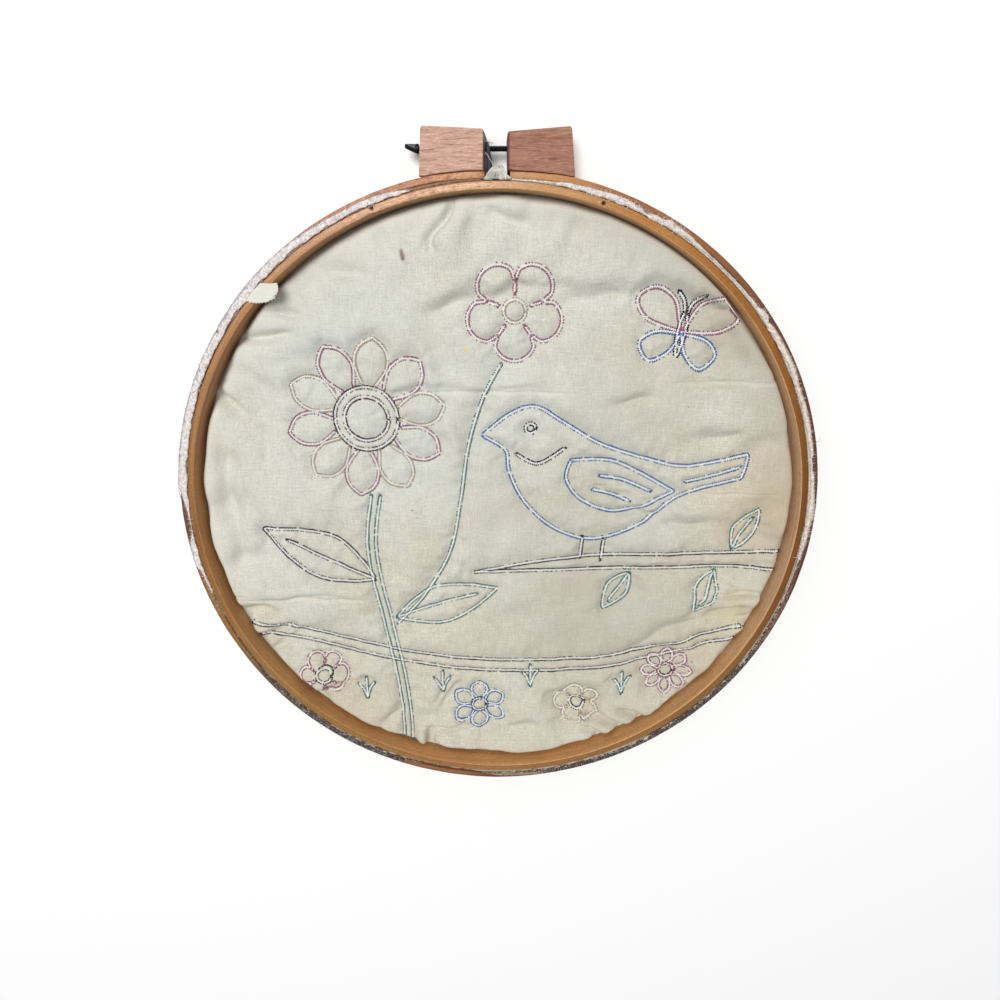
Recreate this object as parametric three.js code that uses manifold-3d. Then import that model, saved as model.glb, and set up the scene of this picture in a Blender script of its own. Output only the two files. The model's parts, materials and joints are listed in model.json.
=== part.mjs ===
// A quilted applique held in a wooden embroidery hoop, lying face down with the back of the work up.
// Millimetres, +Z up. The outer hoop rests on Z = 0 and its two blocks stand toward +Y.
import * as THREE from 'three';
import { mergeVertices } from 'three/addons/utils/BufferGeometryUtils.js';
import Module from 'manifold-3d';

const wasm = await Module();
wasm.setup();

// ---------------------------------------------------------------- driving dimensions
const touchGap = 0.3;
const facets = 90;
const facetAngle = 360 / facets;
const easedEdge = 0.4;

const hoopHeight = 14;
const outerHoop = { inner: 149.8, outer: 152.5, leftEnd: -4.9, rightEnd: 5.6 };
const innerHoop = { inner: 145, outer: 148.2, bottom: 2 };

const clothThickness = 1;
const wallInner = innerHoop.outer + touchGap;
const wallOuter = wallInner + clothThickness;
const clothUnderHoop = innerHoop.bottom - touchGap;
const frontLevel = 0.45;
const frontLift = 0.4;
const backLift = 0.6;
const puffHeight = 1.9;
const channelHalfWidth = 7;
const rampWidth = 18;
const ringCount = 18;
const innermostRing = 9;
const outermostRing = 141;
const clothCorner = 0.5;
const wallShoulder = 12;
const lipSlope = 0.25;
const puckerStep = 0.6;

const screw = { y: 160.8, z: 7, radius: 1.15, play: 0.35, headEnd: -31.8, shaftEnd: 22 };
const collar = { radius: 1.9, length: 1.2, easing: 0.4 };
const thumb = { length: 5.4, halfWidth: 4, thickness: 1.6, edge: 0.3, overlap: 0.7, turn: 26, bend: 12 };
const boreEnd = 24.5;

// The blocks' outlines in plan, their depth, the height of their middle and their twist about Y.
const blocks = [
  {
    name: 'block_left', depth: 13.2, middle: 7.7, twist: -4, boreTo: 0,
    corners: [
      { x: -31.2, y: 149.9 }, { x: -5, y: 149.9 }, { x: -4.5, y: 166.4 }, { x: -29.9, y: 167.9 },
    ],
  },
  {
    name: 'block_right', depth: 13.4, middle: 7.2, twist: 1.5, boreTo: boreEnd,
    corners: [
      { x: 4.5, y: 149.6 }, { x: 31.8, y: 149.4 }, { x: 29.9, y: 167.6 }, { x: 4.2, y: 165.6 },
    ],
  },
];
const blockCorner = 1.1;
const blockEasing = 0.5;
const boreLength = 40;
const roundFacets = 16;

// The raw edge round the hoop: how far it leans out over the outer hoop, or below zero, how far it has sunk
// between the two hoops.
const rawEdge = [
  { at: 0, reach: 1.3 },
  { at: 28, reach: 1.6 },
  { at: 34, reach: -0.3 },
  { at: 50, reach: 0.4 },
  { at: 60, reach: 1.5 },
  { at: 74, reach: 1.4 },
  { at: 84, reach: -0.3 },
  { at: 94, reach: -1.2 },
  { at: 106, reach: -1.2 },
  { at: 114, reach: 1 },
  { at: 124, reach: 1.4 },
  { at: 129, reach: 2.3 },
  { at: 176, reach: 2.4 },
  { at: 182, reach: 2.9 },
  { at: 190, reach: 1.9 },
  { at: 198, reach: 1.8 },
  { at: 206, reach: -0.9 },
  { at: 216, reach: -0.9 },
  { at: 222, reach: 0.5 },
  { at: 252, reach: 0.6 },
  { at: 262, reach: -1 },
  { at: 298, reach: 0.4 },
  { at: 326, reach: 0.7 },
  { at: 342, reach: 0.8 },
  { at: 360, reach: 1.3 },
];

// Sewn shapes that draw the quilt in: ovals by centre, half-lengths and turn in degrees.
const sewnOvals = [
  { x: -62, y: 48, rx: 15, ry: 15, turn: 0 },
  { x: -62, y: 48, rx: 38, ry: 38, turn: 0 },
  { x: 8, y: 96, rx: 22, ry: 22, turn: 0 },
  { x: 50, y: 12, rx: 40, ry: 24, turn: -12 },
  { x: 17, y: 38, rx: 16, ry: 15, turn: 0 },
  { x: 84, y: 88, rx: 24, ry: 17, turn: -10 },
  { x: -90, y: -22, rx: 30, ry: 11, turn: -27 },
  { x: -26, y: -49, rx: 28, ry: 10, turn: 19 },
  { x: -94, y: -88, rx: 13, ry: 13, turn: 0 },
  { x: -10, y: -112, rx: 14, ry: 14, turn: 0 },
  { x: 44, y: -108, rx: 12, ry: 12, turn: 0 },
  { x: 92, y: -88, rx: 13, ry: 13, turn: 0 },
];

// Long sewn lines: the stems, the bird's tail, the branch and the hill.
const sewnLines = [
  { x0: -60, y0: 10, x1: -50, y1: -138 },
  { x0: 2, y0: 74, x1: -53, y1: -62 },
  { x0: 88, y0: 16, x1: 121, y1: 25 },
  { x0: 142, y0: -24, x1: 40, y1: -26 },
  { x0: 40, y0: -26, x1: -10, y1: -32 },
  { x0: -132, y0: -62, x1: -40, y1: -80 },
  { x0: -40, y0: -80, x1: 50, y1: -82 },
  { x0: 50, y0: -82, x1: 128, y1: -62 },
];

// Pressed folds and pulls of the backing: depth is below the cloth, or above it where negative.
const folds = [
  { x0: -124, y0: 61, x1: 29, y1: 62, depth: 0.5, halfWidth: 5 },
  { x0: 66, y0: 65, x1: 131, y1: 68, depth: 0.5, halfWidth: 5 },
  { x0: -135, y0: -46, x1: -76, y1: -45, depth: 0.4, halfWidth: 5 },
  { x0: 62, y0: -25, x1: 138, y1: -22, depth: 0.4, halfWidth: 5 },
  { x0: -29, y0: 130, x1: -12, y1: 89, depth: -0.7, halfWidth: 8 },
  { x0: -72, y0: 120, x1: -89, y1: 93, depth: -0.7, halfWidth: 8 },
  { x0: -120, y0: 57, x1: -104, y1: -3, depth: -0.6, halfWidth: 8 },
  { x0: -37, y0: -139, x1: -24, y1: -126, depth: 1.1, halfWidth: 6 },
  { x0: 105, y0: -41, x1: 134, y1: -48, depth: -0.7, halfWidth: 6 },
  { x0: 52, y0: -132, x1: 82, y1: -112, depth: -0.8, halfWidth: 6 },
];

// The pucker of cloth that stands in the hoop's gap, in plan: its outer line, then the hollow behind it.
const pucker = {
  bottom: 0.6,
  top: 15.1,
  outer: [
    { x: -5.3, y: 149.1 }, { x: -4.3, y: 149.9 }, { x: -3.3, y: 151.5 }, { x: -1.4, y: 152.7 },
    { x: 0.6, y: 153.1 }, { x: 2.6, y: 152.5 }, { x: 4.2, y: 151.2 }, { x: 5, y: 149.8 }, { x: 6, y: 149.1 },
  ],
  hollow: [
    { x: -1.9, y: 148.5 }, { x: -1.2, y: 149.4 }, { x: -0.6, y: 150.3 }, { x: 0.1, y: 150.8 },
    { x: 0.8, y: 150.3 }, { x: 1.4, y: 149.4 }, { x: 2.2, y: 148.5 },
  ],
};

// The loose tab of cloth that folds in over the inner hoop, in plan.
const tab = {
  bottom: hoopHeight + touchGap,
  outline: [
    { x: -110.5, y: 104.1 }, { x: -107.8, y: 101.8 }, { x: -106.4, y: 101.2 }, { x: -101.2, y: 100.7 },
    { x: -98, y: 101.2 }, { x: -95.7, y: 102.8 }, { x: -93.5, y: 106.5 }, { x: -94.2, y: 108.6 },
    { x: -100.9, y: 108.1 }, { x: -103.9, y: 110.2 },
  ],
};

const hoopCentreY = -(blocks[0].corners[3].y - outerHoop.outer) / 2;

// ---------------------------------------------------------------- helpers
const degrees = THREE.MathUtils.degToRad;

function solid(geometry) {
  const bare = geometry.clone();
  bare.deleteAttribute('normal');
  bare.deleteAttribute('uv');
  const merged = mergeVertices(bare, 1e-4);
  const vertProperties = merged.attributes.position.array;
  const triVerts = new Uint32Array(merged.index.array);
  return new wasm.Manifold(new wasm.Mesh({ numProp: 3, vertProperties, triVerts }));
}

function geometryOf(manifold) {
  const { vertProperties, triVerts } = manifold.getMesh();
  const geometry = new THREE.BufferGeometry();
  geometry.setAttribute('position', new THREE.BufferAttribute(vertProperties, 3));
  geometry.setIndex(new THREE.BufferAttribute(triVerts, 1));
  geometry.computeVertexNormals();
  return geometry;
}

function piece(name, geometry, color, roughness, metalness) {
  const mesh = new THREE.Mesh(geometry, new THREE.MeshStandardMaterial({ color, roughness, metalness }));
  mesh.name = name;
  return mesh;
}

const plan = (points) => points.map(({ x, y }) => new THREE.Vector2(x, y));

function smoothLine(points) {
  const curve = new THREE.SplineCurve(plan(points));
  return curve.getPoints(Math.ceil(curve.getLength() / puckerStep));
}

function upright(outline, bottom, height) {
  const geometry = new THREE.ExtrudeGeometry(outline, { depth: height, bevelEnabled: false });
  return geometry.translate(0, 0, bottom);
}

function distanceToLine({ x0, y0, x1, y1 }, x, y) {
  const length2 = (x1 - x0) ** 2 + (y1 - y0) ** 2;
  const along = THREE.MathUtils.clamp(((x - x0) * (x1 - x0) + (y - y0) * (y1 - y0)) / length2, 0, 1);
  return Math.hypot(x - x0 - along * (x1 - x0), y - y0 - along * (y1 - y0));
}

function distanceToOval({ x: cx, y: cy, rx, ry, turn }, x, y) {
  const cos = Math.cos(degrees(turn));
  const sin = Math.sin(degrees(turn));
  const u = (x - cx) * cos + (y - cy) * sin;
  const v = (y - cy) * cos - (x - cx) * sin;
  const reach = Math.hypot(u / rx, v / ry);
  if (reach === 0) return Math.min(rx, ry);
  return Math.abs(reach - 1) * Math.hypot(u, v) / reach;
}

// ---------------------------------------------------------------- hoops
function arcPoints(radius, turns) {
  return turns.map((turn) => new THREE.Vector2(radius * Math.cos(turn), radius * Math.sin(turn)));
}

function makeOuterHoop() {
  const start = Math.acos(outerHoop.leftEnd / outerHoop.outer);
  const end = Math.acos(outerHoop.rightEnd / outerHoop.outer) + 2 * Math.PI;
  const turns = [start];
  for (let step = 0; step <= 2 * facets; step++) {
    const turn = degrees(step * facetAngle);
    if (turn > start + degrees(facetAngle / 2) && turn < end - degrees(facetAngle / 2)) turns.push(turn);
  }
  turns.push(end);
  const outline = new THREE.Shape([
    ...arcPoints(outerHoop.outer, turns),
    ...arcPoints(outerHoop.inner, turns).reverse(),
  ]);
  const geometry = new THREE.ExtrudeGeometry(outline, {
    depth: hoopHeight - 2 * easedEdge,
    bevelThickness: easedEdge,
    bevelSize: easedEdge,
    bevelOffset: -easedEdge,
    bevelSegments: 1,
  });
  return geometry.translate(0, 0, easedEdge);
}

function makeInnerHoop() {
  const { inner, outer, bottom } = innerHoop;
  const profile = plan([
    { x: inner + easedEdge, y: bottom },
    { x: outer - easedEdge, y: bottom },
    { x: outer, y: bottom + easedEdge },
    { x: outer, y: hoopHeight - easedEdge },
    { x: outer - easedEdge, y: hoopHeight },
    { x: inner + easedEdge, y: hoopHeight },
    { x: inner, y: hoopHeight - easedEdge },
    { x: inner, y: bottom + easedEdge },
    { x: inner + easedEdge, y: bottom },
  ]);
  return new THREE.LatheGeometry(profile, facets).rotateX(Math.PI / 2);
}

// ---------------------------------------------------------------- blocks and screw
function roundedOutline(corners, radius) {
  const outline = new THREE.Shape();
  const points = plan(corners);
  points.forEach((corner, i) => {
    const before = points[(i + points.length - 1) % points.length];
    const after = points[(i + 1) % points.length];
    const from = corner.clone().add(before.clone().sub(corner).setLength(radius));
    const to = corner.clone().add(after.clone().sub(corner).setLength(radius));
    if (i === 0) outline.moveTo(from.x, from.y);
    else outline.lineTo(from.x, from.y);
    outline.quadraticCurveTo(corner.x, corner.y, to.x, to.y);
  });
  outline.closePath();
  return outline;
}

function makeBlock({ corners, depth, middle, twist, boreTo }) {
  const centreX = (corners[0].x + corners[1].x + corners[2].x + corners[3].x) / 4;
  const body = new THREE.ExtrudeGeometry(roundedOutline(corners, blockCorner), {
    depth: depth - 2 * blockEasing,
    curveSegments: 3,
    bevelThickness: blockEasing,
    bevelSize: blockEasing,
    bevelOffset: -blockEasing,
    bevelSegments: 2,
  });
  body.translate(-centreX, 0, blockEasing - depth / 2);
  body.rotateY(degrees(twist));
  body.translate(centreX, 0, middle);
  const seatRadius = outerHoop.outer + touchGap;
  const seat = new THREE.CylinderGeometry(seatRadius, seatRadius, 3 * hoopHeight, 2 * facets);
  seat.rotateX(Math.PI / 2);
  const boreRadius = screw.radius + screw.play;
  const bore = new THREE.CylinderGeometry(boreRadius, boreRadius, boreLength, roundFacets);
  bore.rotateZ(Math.PI / 2);
  bore.translate(boreTo - boreLength / 2, screw.y, screw.z);
  return geometryOf(solid(body).subtract(solid(seat)).subtract(solid(bore)));
}

function makeThumbscrew() {
  const { radius, headEnd, shaftEnd } = screw;
  const collarEnd = headEnd - collar.length;
  const profile = plan([
    { x: 0, y: collarEnd },
    { x: collar.radius - collar.easing, y: collarEnd },
    { x: collar.radius, y: collarEnd + collar.easing },
    { x: collar.radius, y: headEnd },
    { x: radius, y: headEnd },
    { x: radius, y: shaftEnd - radius / 2 },
    { x: radius / 2, y: shaftEnd },
    { x: 0, y: shaftEnd },
  ]);
  const shaft = new THREE.LatheGeometry(profile, roundFacets).rotateZ(-Math.PI / 2);
  const blade = new THREE.Shape();
  blade.moveTo(0, -thumb.halfWidth);
  blade.lineTo(0, thumb.halfWidth);
  blade.absellipse(0, 0, thumb.length, thumb.halfWidth, Math.PI / 2, 1.5 * Math.PI);
  const head = new THREE.ExtrudeGeometry(blade, {
    depth: thumb.thickness - 2 * thumb.edge,
    curveSegments: roundFacets,
    bevelThickness: thumb.edge,
    bevelSize: thumb.edge,
    bevelOffset: -thumb.edge,
    bevelSegments: 1,
  });
  head.translate(0, 0, thumb.edge - thumb.thickness / 2);
  head.rotateY(degrees(-thumb.bend));
  head.rotateX(Math.PI / 2 + degrees(thumb.turn));
  head.translate(collarEnd + thumb.overlap, 0, 0);
  return geometryOf(solid(shaft).add(solid(head))).translate(0, screw.y, screw.z);
}

// ---------------------------------------------------------------- quilt
function edgeReach(turn) {
  const next = rawEdge.findIndex((row) => row.at > turn);
  const before = rawEdge[next - 1];
  const after = rawEdge[next];
  return THREE.MathUtils.mapLinear(turn, before.at, after.at, before.reach, after.reach);
}

// 1 in the middle of a puff, 0 on a sewn line.
function puff(x, y) {
  const near = Math.min(
    ...sewnOvals.map((row) => distanceToOval(row, x, y)),
    ...sewnLines.map((row) => distanceToLine(row, x, y)),
  );
  return 1 - Math.exp(-((near / channelHalfWidth) ** 2));
}

function foldDepth(x, y) {
  const depthOf = (row) => row.depth * Math.exp(-((distanceToLine(row, x, y) / row.halfWidth) ** 2));
  return folds.reduce((total, row) => total + depthOf(row), 0);
}

// 0 where the cloth is clamped at the hoop, 1 in the open field.
const ramp = (r) => THREE.MathUtils.smoothstep(innerHoop.inner - r, 0, rampWidth);

function frontHeight(x, y, r) {
  return frontLevel + frontLift * ramp(r) * (1 - puff(x, y));
}

function backHeight(x, y, r) {
  return clothUnderHoop + ramp(r) * (backLift + puffHeight * puff(x, y) - foldDepth(x, y));
}

// The cloth's section from the middle of its front, round the raw edge, to the middle of its back.
function clothSection() {
  const rings = [];
  for (let i = 0; i < ringCount; i++) {
    rings.push(innermostRing + (outermostRing - innermostRing) * (i / (ringCount - 1)));
  }
  const lip = hoopHeight + touchGap;
  return [
    { r: 0, height: frontHeight },
    ...rings.map((r) => ({ r, height: frontHeight })),
    { r: wallInner, z: frontLevel },
    { r: wallOuter, z: frontLevel + clothThickness },
    { r: wallOuter, z: wallShoulder },
    { r: wallOuter, z: lip, sinks: true },
    { r: wallOuter, z: lip + lipSlope, sinks: true, leans: true },
    { r: wallOuter, z: lip + clothThickness, sinks: true, leans: true },
    { r: wallOuter - clothCorner, z: lip + clothThickness, sinks: true },
    { r: wallInner, z: lip + clothThickness - clothCorner, sinks: true },
    { r: wallInner, z: wallShoulder },
    { r: wallInner, z: clothUnderHoop + clothCorner },
    { r: wallInner - clothCorner, z: clothUnderHoop },
    { r: innerHoop.inner - clothCorner, z: clothUnderHoop },
    ...rings.map((r) => ({ r, height: backHeight })).reverse(),
    { r: 0, height: backHeight },
  ];
}

function makeCloth() {
  const section = clothSection();
  const profile = section.map(({ r, z = 0 }) => new THREE.Vector2(r, z));
  const geometry = new THREE.LatheGeometry(profile, facets).rotateX(Math.PI / 2);
  const position = geometry.attributes.position;
  for (let index = 0; index < position.count; index++) {
    const row = section[index % section.length];
    const turn = facetAngle * (Math.floor(index / section.length) % facets);
    const reach = edgeReach(turn);
    const r = row.r + (row.leans ? Math.max(reach, 0) : 0);
    const x = r * Math.cos(degrees(turn));
    const y = r * Math.sin(degrees(turn));
    const z = row.height ? row.height(x, y, r) : row.z + (row.sinks ? Math.min(reach, 0) : 0);
    position.setXYZ(index, x, y, z);
  }
  return geometry;
}

function makeQuilt() {
  const outerLine = smoothLine(pucker.outer);
  const hollowLine = smoothLine(pucker.hollow);
  const behindCloth = new THREE.Vector2(0, wallInner - clothThickness);
  const fold = upright(new THREE.Shape(outerLine), pucker.bottom, pucker.top - pucker.bottom);
  const hollow = upright(new THREE.Shape([...hollowLine, behindCloth]), clothUnderHoop, 2 * hoopHeight);
  const tongue = upright(new THREE.Shape(plan(tab.outline)), tab.bottom, clothThickness);
  return geometryOf(solid(makeCloth()).add(solid(fold)).subtract(solid(hollow)).add(solid(tongue)));
}

// ---------------------------------------------------------------- the whole piece
const group = new THREE.Group();
group.position.y = hoopCentreY;
group.add(piece('quilt', makeQuilt(), 0xe9e3cf, 0.9, 0));
group.add(piece('inner_hoop', makeInnerHoop(), 0xb8793f, 0.55, 0));
group.add(piece('outer_hoop', makeOuterHoop(), 0x9c6436, 0.6, 0));
for (const block of blocks) group.add(piece(block.name, makeBlock(block), 0xb57a62, 0.65, 0));
group.add(piece('thumbscrew', makeThumbscrew(), 0x17191a, 0.35, 0.8));

export default group;
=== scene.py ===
"""A quilted applique in a wooden embroidery hoop, lying face down with the back of the work up.

Everything is modelled in millimetres about the hoop's centre and then settled into the frame in metres.
"""

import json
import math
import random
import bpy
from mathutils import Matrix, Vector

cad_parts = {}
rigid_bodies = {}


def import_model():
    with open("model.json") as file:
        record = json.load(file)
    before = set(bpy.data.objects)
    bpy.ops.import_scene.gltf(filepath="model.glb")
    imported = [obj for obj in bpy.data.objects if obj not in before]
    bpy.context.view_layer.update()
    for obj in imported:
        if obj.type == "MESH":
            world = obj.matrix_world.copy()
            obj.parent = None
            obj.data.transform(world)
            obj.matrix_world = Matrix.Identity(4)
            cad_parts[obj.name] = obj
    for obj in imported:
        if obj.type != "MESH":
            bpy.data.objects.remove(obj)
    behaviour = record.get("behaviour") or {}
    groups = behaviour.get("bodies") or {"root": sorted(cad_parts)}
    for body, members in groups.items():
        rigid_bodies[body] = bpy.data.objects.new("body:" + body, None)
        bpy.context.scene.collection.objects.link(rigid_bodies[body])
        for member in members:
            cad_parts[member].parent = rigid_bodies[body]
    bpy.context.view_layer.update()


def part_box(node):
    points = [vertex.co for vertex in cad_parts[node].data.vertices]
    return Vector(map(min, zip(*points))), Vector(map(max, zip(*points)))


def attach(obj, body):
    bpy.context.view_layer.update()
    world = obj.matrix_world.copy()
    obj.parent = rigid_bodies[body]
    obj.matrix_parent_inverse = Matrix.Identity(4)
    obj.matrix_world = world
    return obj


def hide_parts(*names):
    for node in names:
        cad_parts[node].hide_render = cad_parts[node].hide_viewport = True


bl_info = {
    "name": "Quilted applique in an embroidery hoop",
    "version": (1, 0, 0),
    "blender": (4, 5, 0),
    "location": "View3D > Sidebar > Hoop",
    "description": "Builds the quilt, its satin stitching, the two rings, the blocks and the thumbscrew",
    "category": "Object",
}

from collections import namedtuple
from types import SimpleNamespace

import bmesh
import bpy
import numpy as np
from mathutils import Matrix, Vector, noise
from mathutils.bvhtree import BVHTree
from mathutils.kdtree import KDTree

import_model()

# ---------------------------------------------------------------- sizes from the frame
MM = 0.001
INNER_LOW, INNER_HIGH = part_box("inner_hoop")
OUTER_LOW, OUTER_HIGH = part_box("outer_hoop")
CENTRE = Vector(((INNER_LOW.x + INNER_HIGH.x) / 2, (INNER_LOW.y + INNER_HIGH.y) / 2, 0))
INNER_RADIUS = (INNER_HIGH.x - INNER_LOW.x) / 2
OUTER_RADIUS = (OUTER_HIGH.x - OUTER_LOW.x) / 2
HOOP_TOP = OUTER_HIGH.z / MM
INNER_HOLLOW = 145


# ---------------------------------------------------------------- properties
def length(name, description, default):
    return bpy.props.FloatProperty(
        name=name, description=description, default=default, min=0, subtype="DISTANCE", unit="LENGTH"
    )


def colour(name, description, default):
    return bpy.props.FloatVectorProperty(
        name=name, description=description, default=default, size=3, min=0, max=1, subtype="COLOR"
    )


class HoopSizes(bpy.types.PropertyGroup):
    """Sizes of the two rings."""

    inner_outside: length("Inner ring outside", "Outside radius of the inner ring", INNER_RADIUS)
    inner_wall: length("Inner ring wall", "Thickness of the inner ring", 3.2 * MM)
    inner_bottom: length("Inner ring bottom", "Height of the inner ring's lower face", INNER_LOW.z)
    outer_outside: length("Outer ring outside", "Outside radius of the outer ring", OUTER_RADIUS)
    outer_wall: length("Outer ring wall", "Thickness of the outer ring", 2.7 * MM)
    eased_edge: length("Eased edge", "Radius worn on the rings' edges", 0.45 * MM)
    waver: length("Waver", "How far the bent strips stray from a true circle", 0.12 * MM)


class QuiltSizes(bpy.types.PropertyGroup):
    """Sizes of the quilt."""

    level: length("Back level", "Height of the quilt's back in a sewn channel", 2.5 * MM)
    puff: length("Puff", "How far the batting lifts the back between sewn rows", 3.3 * MM)
    channel: length("Channel", "Half width of the dip along a sewn row", 6.5 * MM)
    ramp: length("Ramp", "Width of the slope up from the clamped rim", 3.5 * MM)
    pucker: length("Pucker", "Height of the short puckers along the rows", 1.9 * MM)
    front: length("Front level", "Height of the quilt's front over the table", 0.45 * MM)
    thread_pitch: length("Weave pitch", "Distance between the threads of the calico", 0.42 * MM)


class SatinSizes(bpy.types.PropertyGroup):
    """Sizes of the satin stitching."""

    half_width: length("Half width", "From a row's middle to its edge of coloured loops", 0.84 * MM)
    bobbin_reach: length("Bobbin reach", "From a row's middle to where the bobbin thread turns", 0.48 * MM)
    bobbin_radius: length("Bobbin thread", "Radius of the bobbin thread", 0.28 * MM)
    loop_radius: length("Loop thread", "Radius of the coloured thread", 0.47 * MM)
    front_half_width: length("Front half width", "Half width of the rows on the front", 1.15 * MM)


class HoopColours(bpy.types.PropertyGroup):
    """Colours of the cloth, the woods and the threads."""

    calico: colour("Calico", "Unbleached calico of the backing", (0.605, 0.572, 0.475))
    calico_cool: colour("Calico, cool", "Cooler tone of the backing", (0.655, 0.668, 0.62))
    batting: colour("Batting", "White batting at the raw edge", (0.84, 0.785, 0.775))
    ground: colour("Ground", "Front cloth behind the design", (0.55, 0.54, 0.60))
    # The left block's lighter, pinker colour is partly its own tone and partly a painted sheen.
    left_block: colour("Left block", "Pinkish hardwood of the left block", (0.66, 0.41, 0.32))
    right_block: colour("Right block", "Brown hardwood of the right block", (0.42, 0.20, 0.135))
    steel: colour("Steel", "Blackened steel of the thumbscrew", (0.012, 0.013, 0.015))
    floor: colour("Floor", "Pale floor", (0.97, 0.975, 0.985))


THREADS = {
    "bobbin": (0.98, 0.98, 0.98),
    "navy": (0.008, 0.010, 0.025),
    "brown": (0.03, 0.014, 0.014),
    "blue": (0.05, 0.16, 0.42),
    "pink": (0.36, 0.14, 0.22),
    "green": (0.06, 0.19, 0.18),
    # The white thread is given a tan: painted shade for its loops, which lie in the groove beside the white
    # bobbin core.
    "white": (0.46, 0.36, 0.27),
}
PATCHES = {
    "sun": (0.72, 0.45, 0.09),
    "bark": (0.12, 0.06, 0.035),
    "leaf": (0.10, 0.22, 0.11),
    "rose": (0.52, 0.15, 0.21),
    "sky": (0.12, 0.25, 0.47),
    "cream": (0.74, 0.69, 0.57),
    "plum": (0.22, 0.09, 0.20),
    "slate": (0.055, 0.058, 0.075),
}


def in_mm(group):
    """The lengths of a property group as plain numbers of millimetres."""
    return SimpleNamespace(**{name: getattr(group, name) / MM for name in group.__annotations__})


# ---------------------------------------------------------------- the sewn design
Row = namedtuple("Row", "thread patch stretches")


def polar(radius, turn, x=0, y=0):
    """The place at a distance and a turn, in radians, from x, y."""
    return x + radius * math.cos(turn), y + radius * math.sin(turn)


def turned(points, x, y, degrees):
    """Points turned about their origin and moved to x, y."""
    cos, sin = math.cos(math.radians(degrees)), math.sin(math.radians(degrees))
    return [(x + (u * cos - v * sin), y + (u * sin + v * cos)) for u, v in points]


def ring(x, y, radius, thread, patch=""):
    count = max(8, round(radius * 1.6))
    return Row(thread, patch, [[polar(radius, 2 * math.pi * i / count, x, y) for i in range(count + 1)]])


def line(thread, *points):
    return Row(thread, "", [list(points)])


def leaf(x0, y0, x1, y1, half_width, thread):
    """A pointed leaf from its stalk end to its tip, with a middle vein."""
    run = math.hypot(x1 - x0, y1 - y0)
    angle = math.degrees(math.atan2(y1 - y0, x1 - x0))
    side = [(0, 0), (0.2, 0.62), (0.45, 1), (0.75, 0.62), (1, 0)]
    upper = [(u * run, v * half_width) for u, v in side]
    lower = [(u * run, -v * half_width) for u, v in reversed(side)]
    outline = Row(thread, "leaf", [turned(upper, x0, y0, angle), turned(lower, x0, y0, angle)])
    vein = 0.8 * run
    middle = [(0, 0), (vein / 2, half_width * 0.08), (vein, 0)]
    return [outline, Row(thread, "", [turned(middle, x0, y0, angle)])]


def petals(x, y, count, inner, outer, width, threads, patch, start=90.0):
    """Pointed petals round a middle: width is the share of its sector that a petal fills."""
    half = 180 * width / count
    widest, shoulder = 0.55 * inner + 0.45 * outer, 0.2 * inner + 0.8 * outer
    shape = [(inner, -0.6), (widest, -1), (shoulder, -0.62), (outer, 0)]
    side = [polar(r, math.radians(half * share)) for r, share in shape]
    other = [(u, -v) for u, v in reversed(side)]
    rows = []
    for i in range(count):
        turn = start + 360 * i / count
        stretches = [turned(side, x, y, turn), turned(other, x, y, turn)]
        rows.append(Row(threads[i % len(threads)], patch, stretches))
    return rows


def blossom(x, y, count, inner, outer, threads, patch, start=90.0):
    """Round lobes in one closed line, with a ring in the middle and a short line up to each notch."""
    steps = 12
    outline = []
    for i in range(count * steps + 1):
        lobe = abs(math.sin(math.pi * i / steps)) ** 0.55
        turn = math.radians(start + 360 * i / (count * steps))
        radius = 0.62 * outer + 0.38 * outer * lobe
        outline.append(polar(radius, turn, x, y))
    rows = [Row(threads[0], patch, [outline]), ring(x, y, inner, threads[1], "sun")]
    for i in range(count):
        spoke = turned([(inner * 1.5, 0), (0.6 * outer, 0)], x, y, start + 360 * i / count)
        rows.append(Row(threads[0], "", [spoke]))
    return rows


def beside(points, offset):
    """The line that runs beside another one, offset to its left."""
    moved = []
    for i, (x, y) in enumerate(points):
        ax, ay = points[max(i - 1, 0)]
        bx, by = points[min(i + 1, len(points) - 1)]
        run = math.hypot(bx - ax, by - ay)
        moved.append((x - offset * (by - ay) / run, y + offset * (bx - ax) / run))
    return moved


def sunflower():
    x, y = -62, 48
    rows = [ring(x, y, 10.5, "brown"), ring(x, y, 15, "brown", "bark")]
    return rows + petals(x, y, 10, 16, 38, 0.94, ("white", "pink"), "sun", 82)


def stems_and_leaves():
    stem = [(-60, 10), (-64, -20), (-58, -60), (-52, -100), (-50, -139)]
    stalk = [(2, 74), (-7, 57), (-14, 34), (-18, 8), (-24, -20), (-38, -45), (-53, -62)]
    rows = [line("green", *beside(stem, side)) for side in (-2.2, 2.2)]
    rows += leaf(-63, -36, -118, -8, 12, "navy")
    rows += leaf(-53, -58, 0, -41, 10.5, "green")
    return rows + [line("green", *stalk)]


def bird():
    back = [(-7, 40), (6, 50.5), (18, 54), (31, 47), (50, 36), (72, 29), (92, 25), (121, 31)]
    tail = [(121, 31), (119, 19)]
    belly = [(119, 19), (90, 10), (71, -5), (50, -13), (30, -8), (14, 6), (6, 22), (4, 33), (-7, 40)]
    wing = [[(36, 28), (58, 27), (87, 12)], [(87, 12), (62, 2), (43, 7), (34, 18), (36, 28)]]
    return [
        Row("blue", "sky", [back, tail, belly]),
        Row("blue", "cream", wing),
        line("blue", (50, 20), (62, 18), (76, 12)),
        line("blue", (47, 13), (56, 11), (66, 7)),
        line("brown", (9, 31), (20, 26), (33, 34)),
        line("blue", (92, 17), (104, 20), (118, 25)),
        ring(16, 43.5, 2.4, "navy"),
        line("navy", (43, -12), (42, -24)),
        line("navy", (54, -13), (53, -25)),
    ]


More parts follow.
